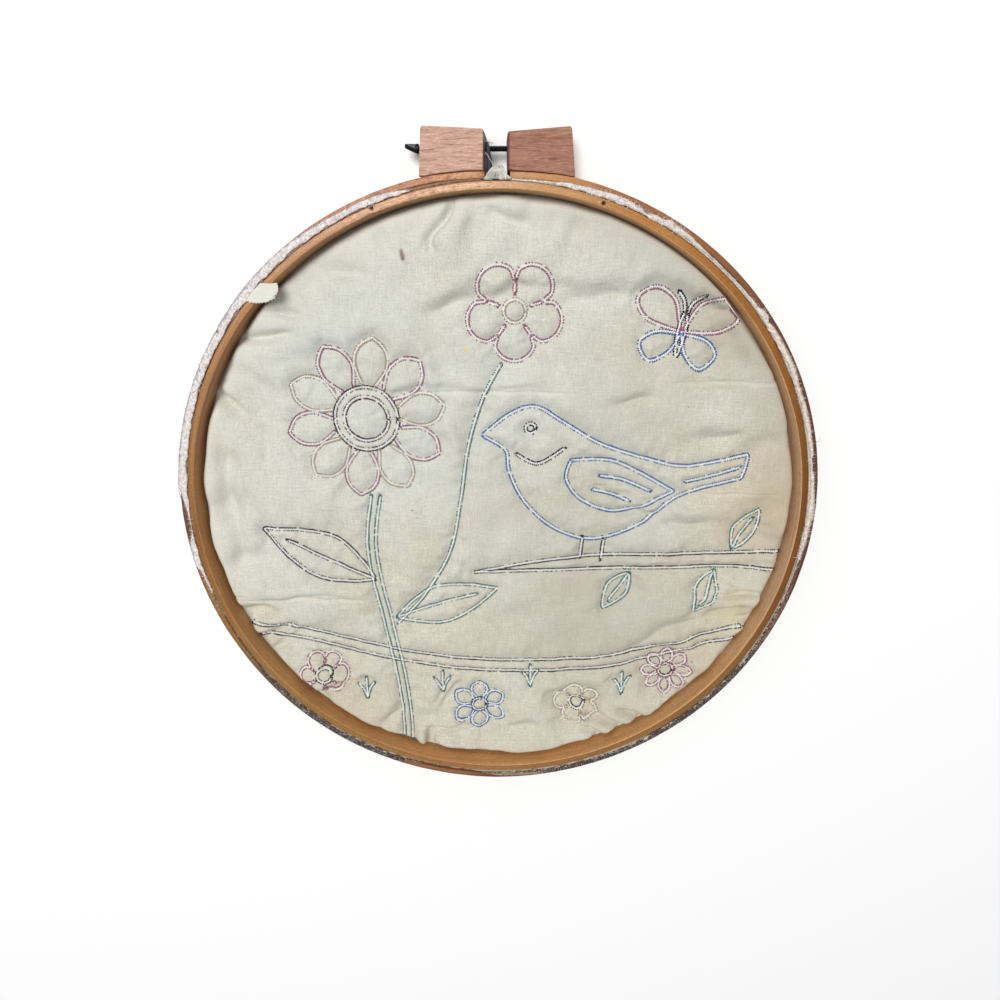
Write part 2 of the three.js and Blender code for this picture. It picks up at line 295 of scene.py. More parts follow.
def branch():
    upper = [(143, -19), (100, -21), (40, -23), (-12, -32)]
    lower = [(142, -29), (100, -28.5), (40, -30), (-12, -32)]
    rows = [Row("brown", "bark", [upper, list(reversed(lower))])]
    rows += leaf(112, -31, 103, -54, 5.5, "green")
    rows += leaf(68, -32, 55, -52, 5.5, "green")
    return rows + leaf(119, -18, 130, 3, 5.5, "green")


def butterfly():
    x, y, turn = 84, 88, -10
    upper = [(1, 1), (6, 13), (16, 17), (23, 11), (17, 3), (1, 0)]
    lower = [(1, -1), (12, -2), (18, -8), (12, -15), (4, -10), (1, -3)]
    rows = []
    for side in (-1, 1):
        for wing, thread, patch in ((upper, "pink", "plum"), (lower, "blue", "sky")):
            shape = [(side * u, v) for u, v in wing]
            rows.append(Row(thread, patch, [turned(shape + shape[:1], x, y, turn)]))
        feeler = [(side * 0.6, 8), (side * 2, 13), (side * 6, 17)]
        rows.append(Row("navy", "", [turned(feeler, x, y, turn)]))
    body = [(0, 9), (1.5, 4), (1.4, -4), (0, -11), (-1.4, -4), (-1.5, 4), (0, 9)]
    return rows + [Row("navy", "bark", [turned(body, x, y, turn)])]


HILL = [(-133, -60), (-104, -65), (-70, -73), (-40, -80), (4, -84), (50, -82), (90, -74), (129, -61)]


def meadow():
    rows = [line("navy", *HILL), line("brown", *beside(HILL, -6.5))]
    rows += blossom(-94, -92, 6, 4, 13, ("pink", "brown"), "rose")
    rows += petals(-10, -113, 6, 4.5, 15, 0.9, ("blue",), "sky")
    rows += [ring(-10, -113, 4, "brown", "sun")]
    rows += blossom(44, -111, 5, 4, 12.5, ("white", "brown"), "cream", 70)
    rows += petals(92, -91, 8, 4.5, 13.5, 0.9, ("pink",), "plum")
    rows += [ring(92, -91, 4, "brown", "sun")]
    for x, y in ((-30, -104), (18, -100), (68, -104), (-72, -108)):
        for lean, height in ((-5, 9), (0, 13), (4.5, 10)):
            rows.append(line("green", (x, y), (x + lean * 0.4, y + height * 0.6), (x + lean, y + height)))
    return rows


def design():
    """Every sewn row, from the sunflower to the grass."""
    rows = sunflower() + stems_and_leaves()
    rows += blossom(8, 97, 5, 5, 22, ("pink", "white"), "rose")
    return rows + bird() + branch() + butterfly() + meadow()


def smooth(points, step):
    """A Catmull-Rom line through the points."""
    if len(points) == 2:
        run = max(1, round(math.dist(*points) / step))
        return [Vector(points[0]).lerp(Vector(points[1]), i / run) for i in range(run + 1)]
    closed = math.dist(points[0], points[-1]) < step / 10
    before = [points[-2]] if closed else [points[0]]
    after = [points[1]] if closed else [points[-1]]
    knots = [Vector(p) for p in before + list(points) + after]
    made = [knots[1]]
    for a, b, c, d in zip(knots, knots[1:], knots[2:], knots[3:]):
        run = max(2, round((c - b).length / step))
        for i in range(1, run + 1):
            t = i / run
            square = (2 * a - 5 * b + 4 * c - d) * t * t
            cube = (3 * b - a - 3 * c + d) * t**3
            made.append(0.5 * (2 * b + (c - a) * t + square + cube))
    return made


def sewn_path(row, step):
    """Even steps along a row: each one's place, the row's direction there and how far along it lies."""
    path = [p for stretch in row.stretches for p in smooth(stretch, step)]
    reached = [0.0]
    for a, b in zip(path, path[1:]):
        reached.append(reached[-1] + (b - a).length)
    places = []
    for i in range(int(reached[-1] / step) + 1):
        s = i * step
        k = min(max(np.searchsorted(reached, s, side="right"), 1), len(path) - 1)
        span = max(reached[k] - reached[k - 1], 1e-9)
        place = path[k - 1].lerp(path[k], (s - reached[k - 1]) / span)
        ahead = path[min(k + 1, len(path) - 1)] - path[max(k - 2, 0)]
        places.append((place, ahead.normalized() if ahead.length > 1e-6 else Vector((1, 0)), s))
    return places


SEWN_STEP = 0.5
SEWN_REACH = 143.6
ROWS = design()
PATHS = [[step for step in sewn_path(row, SEWN_STEP) if step[0].length < SEWN_REACH] for row in ROWS]
SAMPLES = [(number, *step) for number, path in enumerate(PATHS) for step in path]
NEAREST = KDTree(len(SAMPLES))
for sample_index, sample in enumerate(SAMPLES):
    NEAREST.insert(sample[1].to_3d(), sample_index)
NEAREST.balance()


def paths_in(thread):
    """The paths of the rows sewn in one thread."""
    return [path for row, path in zip(ROWS, PATHS) if row.thread == thread]

# ---------------------------------------------------------------- creases and the raw edge
# Creases: their two ends, how deep each is beside the others, and its half width. Places and widths are in
# millimetres. A ridge runs beside each on its left.
Crease = namedtuple("Crease", "x0 y0 x1 y1 depth half_width")
CREASES = [Crease(*row) for row in [
    (35, -123, 61, -133, 1.5, 1.7), (50, -118, 73, -126, 1.6, 1.7), (64, -115, 84, -120, 1.5, 1.6),
    (24, -105, 60, -112, 0.7, 2.6), (-38, -141, -35, -131, 1.8, 1.7), (-35, -131, -17, -128, 1.4, 1.7),
    (-34, -113, -19, -97, 1.0, 1.6), (-38, -111, -25, -96, 0.6, 1.6), (-75, 61.5, 28, 61.5, 0.34, 1.1),
    (85, 66, 138, 66, 0.34, 1.2), (-140, -46, -70, -46, 0.45, 1.3), (138, -44, 110, -44, 0.9, 1.5),
    (136, -60, 124, -60, 1.0, 1.7), (-88, 86, -121, 84, 0.9, 1.9), (-84, 93, -101, 97, 1.0, 1.8),
    (-131, 62, -125, 52, 0.7, 1.9), (-125, 52, -119, 47, 0.6, 1.9), (-31, 98, -4, 103, 0.9, 2.6),
    (-6, 102.5, 23, 108, 0.8, 2.6), (28, 101, 61, 104, 0.9, 4.2), (60, 104, 86, 99, 0.9, 4.2),
    (84, 99, 110, 96, 0.7, 4.0), (81, 95, 106, 97.5, 0.7, 1.9), (-18, 142, -22, 132, 1.2, 1.6),
    (-22, 133, -27, 127, 1.0, 1.6), (-28, 129, -25, 121, 0.8, 1.6), (-58, 112, -77, 117, 0.8, 2.6),
    (-5, 139, 11, 133, 0.7, 2.4), (-38, 87, -25, 56, -0.5, 2.6), (-26, 56, -18, 30, -0.4, 2.6),
    (-127, -73, -107, -59, 1.2, 2.1), (-122, -78, -103, -65, 0.9, 1.9),
    (-112, -99, -89, -106, 1.1, 2.0), (-96, -102, -76, -96, 1.0, 2.0), (-101, -88, -79, -93, -0.8, 2.4),
    (66, -77, 110, -56, 0.9, 4.4), (108, -57, 127, -51, 0.8, 3.4), (74, -86, 112, -77, 0.9, 4.0),
    (98, -45, 132, -46, -0.7, 3.4), (-133, 40, -130, -32, 0.7, 3.6), (-121, 30, -118, -46, 0.6, 4.0),
    (-112, 46, -110, 8, 0.5, 3.4), (-137, -58, -114, -52, 0.7, 2.8), (4, -128, 24, -124, 0.6, 2.6),
    (-66, -127, -52, -114, 0.7, 3.0), (50, 56, 74, 58, 0.6, 1.8), (84, -6, 106, -3, 0.6, 1.9),
    (60, 2, 80, 0, 0.6, 1.8), (96, 38, 116, 44, 0.6, 2.2),
]]

# The raw edge round the hoop, by degrees: its inner and outer radius, the height of its top, the shares
# of its width that show the cream backing and the front cloth, and that cloth's colour.
Edge = namedtuple("Edge", "at inner outer top cream front cloth")
RAW_EDGE = [Edge(*row) for row in [
    (0, 148.55, 151.05, 14.66, 0.15, 0.32, "beige"),
    (1.2, 148.65, 152.15, 14.78, 0.1, 0.40, "beige"),
    (2.2, 148.65, 151.95, 14.78, 0.12, 0.40, "beige"),
    (3.6, 148.75, 151.45, 14.72, 0.15, 0.32, "beige"),
    (7, 148.85, 150.75, 14.66, 0.25, 0.22, "beige"),
    (9.3, 148.85, 150.65, 14.66, 0.25, 0.22, "beige"),
    (9.9, 148.85, 149.9, 14.54, 0.3, 0.1, "rust"),
    (12.2, 148.85, 149.9, 14.54, 0.3, 0.1, "rust"),
    (13, 148.85, 150.65, 14.66, 0.25, 0.22, "beige"),
    (21, 148.75, 150.85, 14.72, 0.2, 0.22, "beige"),
    (26, 148.65, 150.45, 14.66, 0.2, 0.22, "beige"),
    (29, 148.55, 151.35, 14.72, 0.1, 0.27, "beige"),
    (35, 148.55, 151.05, 14.72, 0.1, 0.27, "beige"),
    (37.5, 148.45, 150.75, 14.66, 0.1, 0.22, "beige"),
    (38.3, 148.55, 149.95, 14.54, 0.1, 0.22, "beige"),
    (39, 148.45, 151.25, 14.72, 0.05, 0.17, "beige"),
    (40.3, 148.45, 151.15, 14.72, 0.05, 0.17, "beige"),
    (41.2, 148.65, 150.4, 14.54, 0.1, 0.3, "rust"),
    (44, 148.85, 149.7, 14.44, 0.5, 0, "rust"),
    (45.5, 148.85, 149.7, 14.44, 0.5, 0, "pale"),
    (50, 148.85, 149.5, 14.44, 0.5, 0, "pale"),
    (54, 148.85, 149.7, 14.44, 0.5, 0, "pale"),
    (58, 148.55, 150.7, 14.72, 0.15, 0, "pale"),
    (61.8, 148.1, 151.5, 14.78, 0.1, 0.1, "pale"),
    (62.3, 148.2, 150.4, 14.66, 0.15, 0.05, "pale"),
    (64.6, 148.2, 150.2, 14.66, 0.15, 0.05, "pale"),
    (65.3, 148.4, 149.3, 14.3, 0.1, 0.4, "rust"),
    (66.4, 148.3, 150.1, 14.54, 0.2, 0.1, "pale"),
    (69.5, 148.1, 150.9, 14.72, 0.15, 0, "pale"),
    (75, 148.0, 150.2, 14.66, 0.15, 0, "pale"),
    (79.5, 148.0, 149.9, 14.6, 0.2, 0, "pale"),
    (80.5, 148.1, 149.5, 14.48, 0.3, 0.2, "tan"),
    (85, 148.2, 149.2, 14.36, 0.4, 0.3, "tan"),
    (87.9, 148.2, 149.0, 14.3, 0.4, 0.3, "tan"),
    # From 88.5 to 91.6 degrees, behind the pucker, the edge sinks to 8 mm in the dark rust cloth, which
    # also serves as painted shade in the pucker's hollow.
    (88.5, 148.5, 149.3, 8, 0, 1, "rust"),
    (91.6, 148.5, 149.3, 8, 0, 1, "rust"),
    (92.3, 148.5, 149.1, 13.7, 0, 1, "tan"),
    (103.5, 148.5, 149.1, 13.8, 0, 1, "tan"),
    (104.4, 148.3, 149.3, 14.42, 0.1, 0.2, "pale"),
    (106, 148.3, 149.9, 14.66, 0.1, 0, "pale"),
    (108, 148.3, 150.5, 14.72, 0.05, 0, "pale"),
    (111, 148.4, 150.9, 14.72, 0.05, 0.05, "pale"),
    (117, 148.4, 150.85, 14.78, 0.05, 0.05, "pale"),
    (124, 148.4, 151.70, 14.78, 0.03, 0.1, "pale"),
    (131, 148.4, 152.10, 14.84, 0.03, 0.15, "pale"),
    (143.3, 148.3, 151.90, 14.84, 0.03, 0.2, "pale"),
    (143.9, 148.3, 151.30, 14.66, 0.03, 0.2, "rust"),
    (144.6, 148.2, 151.80, 14.84, 0.03, 0.2, "pale"),
    (155, 148.3, 151.80, 14.84, 0.03, 0.15, "pale"),
    (158, 148.0, 151.80, 14.84, 0.03, 0.2, "pale"),
    (170, 148.0, 151.90, 14.84, 0.03, 0.15, "pale"),
    (173.2, 147.9, 152.20, 14.84, 0.03, 0.15, "pale"),
    (175, 147.9, 150.7, 14.72, 0.05, 0.1, "pale"),
    (178.6, 148.1, 148.9, 14.36, 0.1, 0.1, "pale"),
    (182, 148.3, 148.7, 14.24, 0.6, 0, "pale"),
    (184.2, 148.1, 150.3, 14.66, 0.05, 0.1, "pale"),
    (185, 147.9, 151.0, 14.72, 0.05, 0.15, "pale"),
    (189, 147.9, 151.1, 14.72, 0.05, 0.15, "pale"),
    (190, 148.0, 149.5, 14.54, 0.2, 0, "pale"),
    (194, 148.0, 148.8, 14.42, 0.4, 0, "pale"),
    (195.8, 148.4, 148.7, 13.8, 0, 1, "tan"),
    (207.5, 148.4, 148.7, 13.8, 0, 1, "tan"),
    (213, 148.4, 149.0, 13.9, 0, 1, "slate"),
    (214.5, 148.4, 150.1, 14.40, 0.07, 0.8, "slate"),
    (224, 148.4, 150.4, 14.44, 0.06, 0.8, "slate"),
    (229, 148.4, 151.7, 14.50, 0.04, 0.8, "slate"),
    (249.5, 148.5, 152.2, 14.50, 0.03, 0.82, "slate"),
    (250.8, 148.5, 149.5, 13.7, 0, 1, "rust"),
    (263.6, 148.5, 149.5, 13.7, 0, 1, "rust"),
    (266, 148.5, 149.7, 14.16, 0.1, 0.7, "rust"),
    (269.5, 148.5, 151.9, 14.34, 0.1, 0.88, "olive"),
    (278, 148.5, 152.5, 14.43, 0.1, 0.88, "olive"),
    (282, 148.5, 152.3, 14.43, 0.1, 0.88, "slate"),
    (302, 148.5, 152.0, 14.43, 0.12, 0.86, "slate"),
    (302.8, 148.5, 151.9, 14.43, 0.5, 0.48, "slate"),
    (304, 148.3, 152.1, 14.43, 0.1, 0.88, "slate"),
    (328.3, 148.3, 152.0, 14.43, 0.1, 0.88, "slate"),
    (329.4, 148.5, 151.9, 14.39, 0.45, 0.53, "slate"),
    (331, 148.5, 151.9, 14.39, 0.1, 0.88, "slate"),
    (335.5, 148.5, 151.8, 14.39, 0.1, 0.88, "rust"),
    (342.5, 148.5, 151.7, 14.39, 0.1, 0.88, "rust"),
    (343.6, 148.5, 151.4, 14.40, 0.2, 0.75, "rust"),
    (350, 148.5, 150.9, 14.40, 0.3, 0.6, "rust"),
    (352.4, 148.6, 150.9, 14.5, 0.3, 0.65, "rust"),
    (353.6, 148.65, 149.85, 14.6, 0.2, 0.22, "beige"),
    (356, 148.55, 150.55, 14.66, 0.15, 0.27, "beige"),
    (360, 148.55, 151.05, 14.66, 0.15, 0.32, "beige"),
]]
EDGE_CLOTHS = {
    "pale": (0.42, 0.42, 0.50),
    "beige": (0.47, 0.36, 0.31),
    "slate": (0.048, 0.039, 0.039),
    "rust": (0.15, 0.06, 0.035),
    "olive": (0.34, 0.25, 0.18),
    "tan": (0.40, 0.23, 0.14),
}
EDGE_CREAM = (0.62, 0.52, 0.39)
# Painted shade at the raw edge: a brown painted shadow line along the pale edge's inner side on the left,
# and a dark painted shade on the dark cloths' inner side and beside their cream.
EDGE_SHADOW_LINE = (0.26, 0.12, 0.07)
EDGE_PAINTED_SHADE = (0.10, 0.05, 0.03)

# How much the inner ring's strip thickens round the lower side, by degrees, in millimetres.
INNER_LAP = [(0, 0), (216, 0), (232, 0.5), (250, 0.65), (330, 0.65), (345, 0.35), (356, 0), (360, 0)]

# How far the outer ring, bent by hand, strays from a true circle, by degrees, in millimetres.
OUTER_STRAY = [
    (0, 0), (60, 0), (78, 0), (82, -0.5), (86, -0.85), (88, -0.95), (92, -0.95), (96, -0.6), (102, -0.1),
    (120, -0.15), (140, -0.5), (155, -0.75), (170, -0.8), (188, -1.0), (205, -1.0), (214, -0.7),
    (222, -0.3), (232, 0.1), (245, 0.5), (262, 0.7), (270, 0.85), (284, 0.4), (300, 0.1), (330, 0),
    (360, 0),
]

# How much higher the cloth stands beside the inner ring, by degrees, in millimetres.
RIM_LIFT = [
    (0, 2.0), (20, 3.6), (45, 3.6), (70, 2.6), (86, 1.2), (110, 1.0), (140, 0.6), (152, 1.0), (160, 2.8),
    (166, 1.8), (173, 2.8), (182, 1.6), (190, 1.2), (199, 0.4), (205, 1.0), (214, 1.4), (221, 0.2),
    (228, 1.8), (233, 0.8), (240, 1.4), (250, 1.4), (255, 0.2), (261, 1.6), (266, 0.2), (274, 1.2),
    (283, 0.6), (291, 0.2), (298, 0.8), (304, 0.4), (312, 1.2), (325, 1.2), (335, 1.0), (345, 1.4),
    (360, 1.8),
]

# A strip that follows its circle.
STRAIGHT = [(0, 0), (360, 0)]


def by_degrees(table, turn):
    """What a table gives round the hoop at a turn, in radians."""
    return float(np.interp(math.degrees(turn) % 360, *zip(*table)))


def raw_edge(turn):
    """The raw edge's numbers at a place round the hoop, blended between rows."""
    turn %= 360
    after = next(i for i, row in enumerate(RAW_EDGE) if row.at > turn)
    a, b = RAW_EDGE[after - 1], RAW_EDGE[after]
    t = (turn - a.at) / (b.at - a.at)
    numbers = {name: (1 - t) * getattr(a, name) + t * getattr(b, name) for name in Edge._fields[1:-1]}
    numbers["inner"] += by_degrees(INNER_LAP, math.radians(turn))
    cloth = [(1 - t) * u + t * v for u, v in zip(EDGE_CLOTHS[a.cloth], EDGE_CLOTHS[b.cloth])]
    return SimpleNamespace(**numbers, cloth=cloth)


# ---------------------------------------------------------------- the quilt's relief
def bell(distance, half_width):
    return math.exp(-((distance / half_width) ** 2))


def uneven(x, y, z=0):
    """Smooth unevenness, from -1 to 1."""
    return noise.noise(Vector((x, y, z)))


def blend_over(value, low, high):
    """0 below low, 1 above high, smooth between."""
    t = min(max((value - low) / (high - low), 0), 1)
    return t * t * (3 - 2 * t)


def crease_depth(x, y):
    """How far the listed creases press the back down here; each fades out at its ends."""
    warp_x = x + 4 * uneven(x / 20, y / 20)
    warp_y = y + 4 * uneven(x / 20, y / 20, 7)
    depth = 0
    for crease in CREASES:
        run = Vector((crease.x1 - crease.x0, crease.y1 - crease.y0))
        offset = Vector((warp_x - crease.x0, warp_y - crease.y0))
        t = min(max(offset.dot(run) / run.length_squared, 0), 1)
        distance = (offset - t * run).length
        wide = 1.35 * crease.half_width
        if distance < 5 * wide:
            signed = math.copysign(distance, run.cross(offset))
            fade = math.sqrt(max(math.sin(math.pi * min(max(t, 0.01), 0.99)), 0))
            fold = 0.55 * bell(distance, wide) + 0.6 * math.exp(-1.5 * distance / wide)
            depth += crease.depth * fade * (fold - 0.6 * bell(signed - 2.1 * wide, 1.4 * wide))
    return depth


def nearest_row(x, y):
    """The distance to the nearest sewn row, that row's number and how far along it."""
    _, index, near = NEAREST.find((x, y, 0))
    number, place, direction, along = SAMPLES[index]
    return near, number, along + (Vector((x, y)) - place).dot(direction)


def rim_gathers(x, y):
    """Soft gathers that run in from the clamped rim, and the roll of cloth where it meets the ring."""
    r = math.hypot(x, y)
    turn = math.atan2(y, x)
    around = Vector((math.cos(turn), math.sin(turn), 0))
    wave = noise.noise(8 * around + Vector((0, 0, r / 60)))
    small = noise.noise(17 * around + Vector((0, 0, r / 30)))
    lump = 0.5 + noise.noise(7 * around + Vector((0, 0, 8)))
    curl = 0.8 * bell(r - 144, 0.8) * lump * bell(around.x + 1, 0.3)
    lift = by_degrees(RIM_LIFT, turn)
    gathers = 4.4 * wave * bell(r - 131, 16) + 2.0 * small * bell(r - 134, 9)
    return gathers + curl + (lift + 0.6) * bell(r - 142, 5)


# In millimetres: the back's height where the rings clamp it, the depth of a crease of 1, the height above
# which the back rises ever less and the room left over it, and the back's least height.
CLAMPED_BACK = 1.7
CREASE_DEPTH = 4.9
SOFT_TOP, SOFT_ROOM = 5.5, 2.5
LEAST_BACK = 1.15


def back_height(x, y, sizes):
    """Height of the quilt's back over the table, in millimetres."""
    r = math.hypot(x, y)
    ramp = blend_over(INNER_HOLLOW - r, 0, sizes.ramp)
    near, number, along = nearest_row(x, y)
    puff = 0.45 * (1 - bell(near, 2.4)) + 0.55 * (1 - bell(near, sizes.channel))
    ripple = uneven(along / 4.2, number * 5.3, near / 16)
    fine = uneven(along / 2.2, number * 3.7, near / 8)
    pucker = sizes.pucker * (ripple * bell(near, 8) + 0.3 * fine * bell(near, 4)) * (1 - bell(near, 1.7))
    broad = 3.7 * uneven(x / 36, y / 36, 1)
    lumps = 2.1 * uneven(x / 16, y / 16, 5) + 0.35 * uneven(x / 6.5, y / 6.5, 9)
    calm = 1 - 0.55 * bell(math.hypot(x - 62, y - 112), 42)
    swell = calm * (broad + lumps) * (0.35 + 0.65 * puff)
    field = sizes.level - CLAMPED_BACK + sizes.puff * puff + pucker + swell
    edge = min(ramp * 5, 1)
    height = CLAMPED_BACK + ramp * field + edge * (rim_gathers(x, y) - CREASE_DEPTH * crease_depth(x, y))
    over = max(height - SOFT_TOP, 0)
    return max(height - over + SOFT_ROOM * math.tanh(over / SOFT_ROOM), LEAST_BACK)


def front_height(x, y, sizes):
    """Height of the quilt's front over the table, in millimetres."""
    near = nearest_row(x, y)[0]
    ramp = blend_over(INNER_HOLLOW - math.hypot(x, y), 0, sizes.ramp)
    return sizes.front + 0.4 * ramp * bell(near, sizes.channel)


# ---------------------------------------------------------------- mesh helpers
def finished(mesh, name, materials, replaces=()):
    """Adds a mesh to the scene as a piece of the object."""
    piece = bpy.data.objects.new(name, mesh)
    bpy.context.scene.collection.objects.link(piece)
    for material in materials:
        mesh.materials.append(material)
    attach(piece, "root")
    if replaces:
        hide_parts(*replaces)


def settled(bm, name, smooth_faces=True):
    """A bmesh in millimetres about the hoop's centre, as a mesh in the frame."""
    bmesh.ops.scale(bm, vec=Vector((MM, MM, MM)), verts=bm.verts)
    bmesh.ops.translate(bm, vec=CENTRE, verts=bm.verts)
    for face in bm.faces:
        face.smooth = smooth_faces
    mesh = bpy.data.meshes.new(name)
    bm.to_mesh(mesh)
    bm.free()
    return mesh


def add_piece(bm, name, materials, replaces=(), smooth_faces=True):
    """Makes a bmesh in millimetres a piece of the object."""
    finished(settled(bm, name, smooth_faces), name, materials, replaces)


def thread_mesh(name, runs, radius, kinds=None, profile=None):
    """Threads: each run is a list of places in millimetres with the thread's width there, as a share.

    A thread is round unless it has a profile, and kinds holds a number of a material for each run.
    """
    curve = bpy.data.curves.new(name, "CURVE")
    curve.dimensions = "3D"
    curve.twist_mode = "Z_UP"
    curve.bevel_depth = radius * MM
    curve.bevel_resolution = 0
    curve.use_fill_caps = True
    if profile:
        curve.bevel_mode = "OBJECT"
        curve.bevel_object = profile
    for _ in set(kinds or []):
        curve.materials.append(None)
    for number, run in enumerate(runs):
        spline = curve.splines.new("POLY")
        spline.points.add(len(run) - 1)
        spline.points.foreach_set("co", [c for place, _ in run for c in (*(place * MM + CENTRE), 1)])
        spline.points.foreach_set("radius", [width for _, width in run])
        spline.material_index = kinds[number] if kinds else 0
    holder = bpy.data.objects.new(name, curve)
    bpy.context.scene.collection.objects.link(holder)
    depsgraph = bpy.context.evaluated_depsgraph_get()
    mesh = bpy.data.meshes.new_from_object(holder.evaluated_get(depsgraph))
    mesh.name = name
    bpy.data.objects.remove(holder)
    bpy.data.curves.remove(curve)
    numbers = [face.material_index for face in mesh.polygons]
    mesh.materials.clear()
    mesh.polygons.foreach_set("material_index", numbers)
    bm = bmesh.new()
    bm.from_mesh(mesh)
    bmesh.ops.remove_doubles(bm, verts=bm.verts, dist=0.001 * MM)
    bm.to_mesh(mesh)
    bm.free()
    mesh.shade_smooth()
    return mesh


def rounded(bm, geom, offset, segments, affect="EDGES"):
    """Rounds off edges or corners."""
    bmesh.ops.bevel(
        bm, geom=geom, affect=affect, offset=offset, segments=segments, profile=0.5, material=-1
    )


def level_edges(bm, axis=2):
    """The edges that lie square to an axis."""
    return [e for e in bm.edges if abs(e.verts[0].co[axis] - e.verts[1].co[axis]) < 0.1]


def raised(bm, face, height):
    """Extrudes a face upward; returns the new face."""
    made = bmesh.ops.extrude_face_region(bm, geom=[face])["geom"]
    top = next(part for part in made if isinstance(part, bmesh.types.BMFace))
    bmesh.ops.translate(bm, vec=(0, 0, height), verts=top.verts)
    return top


def add_part(bm, part):
    """Moves the shape of one bmesh into another."""
    spare = bpy.data.meshes.new("spare")
    part.to_mesh(spare)
    part.free()
    bm.from_mesh(spare)
    bpy.data.meshes.remove(spare)


def section_face(bm, low, high, inner, outer, corner):
    """A ring's section with rounded corners, standing on the X axis."""
    corners = [(inner, low), (outer, low), (outer, high), (inner, high)]
    face = bm.faces.new([bm.verts.new((r, 0, z)) for r, z in corners])
    rounded(bm, face.verts[:], corner, 3, "VERTICES")
    return bm.faces[:]


# How far knocks have dented the rings' surfaces, in millimetres.
KNOCK = 0.05


def bend_strip(bm, waver, seed, bend=STRAIGHT):
    """Lets a bent strip stray from its circle, and knocks its edges a little."""
    for vert in bm.verts:
        flat = Vector((vert.co.x, vert.co.y, 0))
        around = flat.normalized()
        stray = noise.noise(around * 2.2 + Vector((0, 0, seed)))
        knock = uneven(vert.co.x / 4, vert.co.y / 4, vert.co.z / 3 + seed)
        out = waver * stray + KNOCK * knock + by_degrees(bend, math.atan2(around.y, around.x))
        vert.co += around * out
        if vert.co.z > HOOP_TOP / 2:
            vert.co.z += KNOCK * knock


def ground_tree():
    """The quilt's surface, for laying stitches on it."""
    cloth = bpy.data.objects.get("quilt_cloth")
    if cloth is None:
        raise RuntimeError("make the quilt before what is sewn to it")
    return BVHTree.FromObject(cloth, bpy.context.evaluated_depsgraph_get())


def on_cloth(tree, place, lift):
    """A place on the quilt's back, raised by a lift."""
    start = Vector((place.x * MM + CENTRE.x, place.y * MM + CENTRE.y, 0.05))
    hit = tree.ray_cast(start, Vector((0, 0, -1)))[0]
    if hit is None:
        raise RuntimeError(f"the quilt has no cloth at {place.x:.1f}, {place.y:.1f}")
    return Vector((place.x, place.y, hit.z / MM + lift))


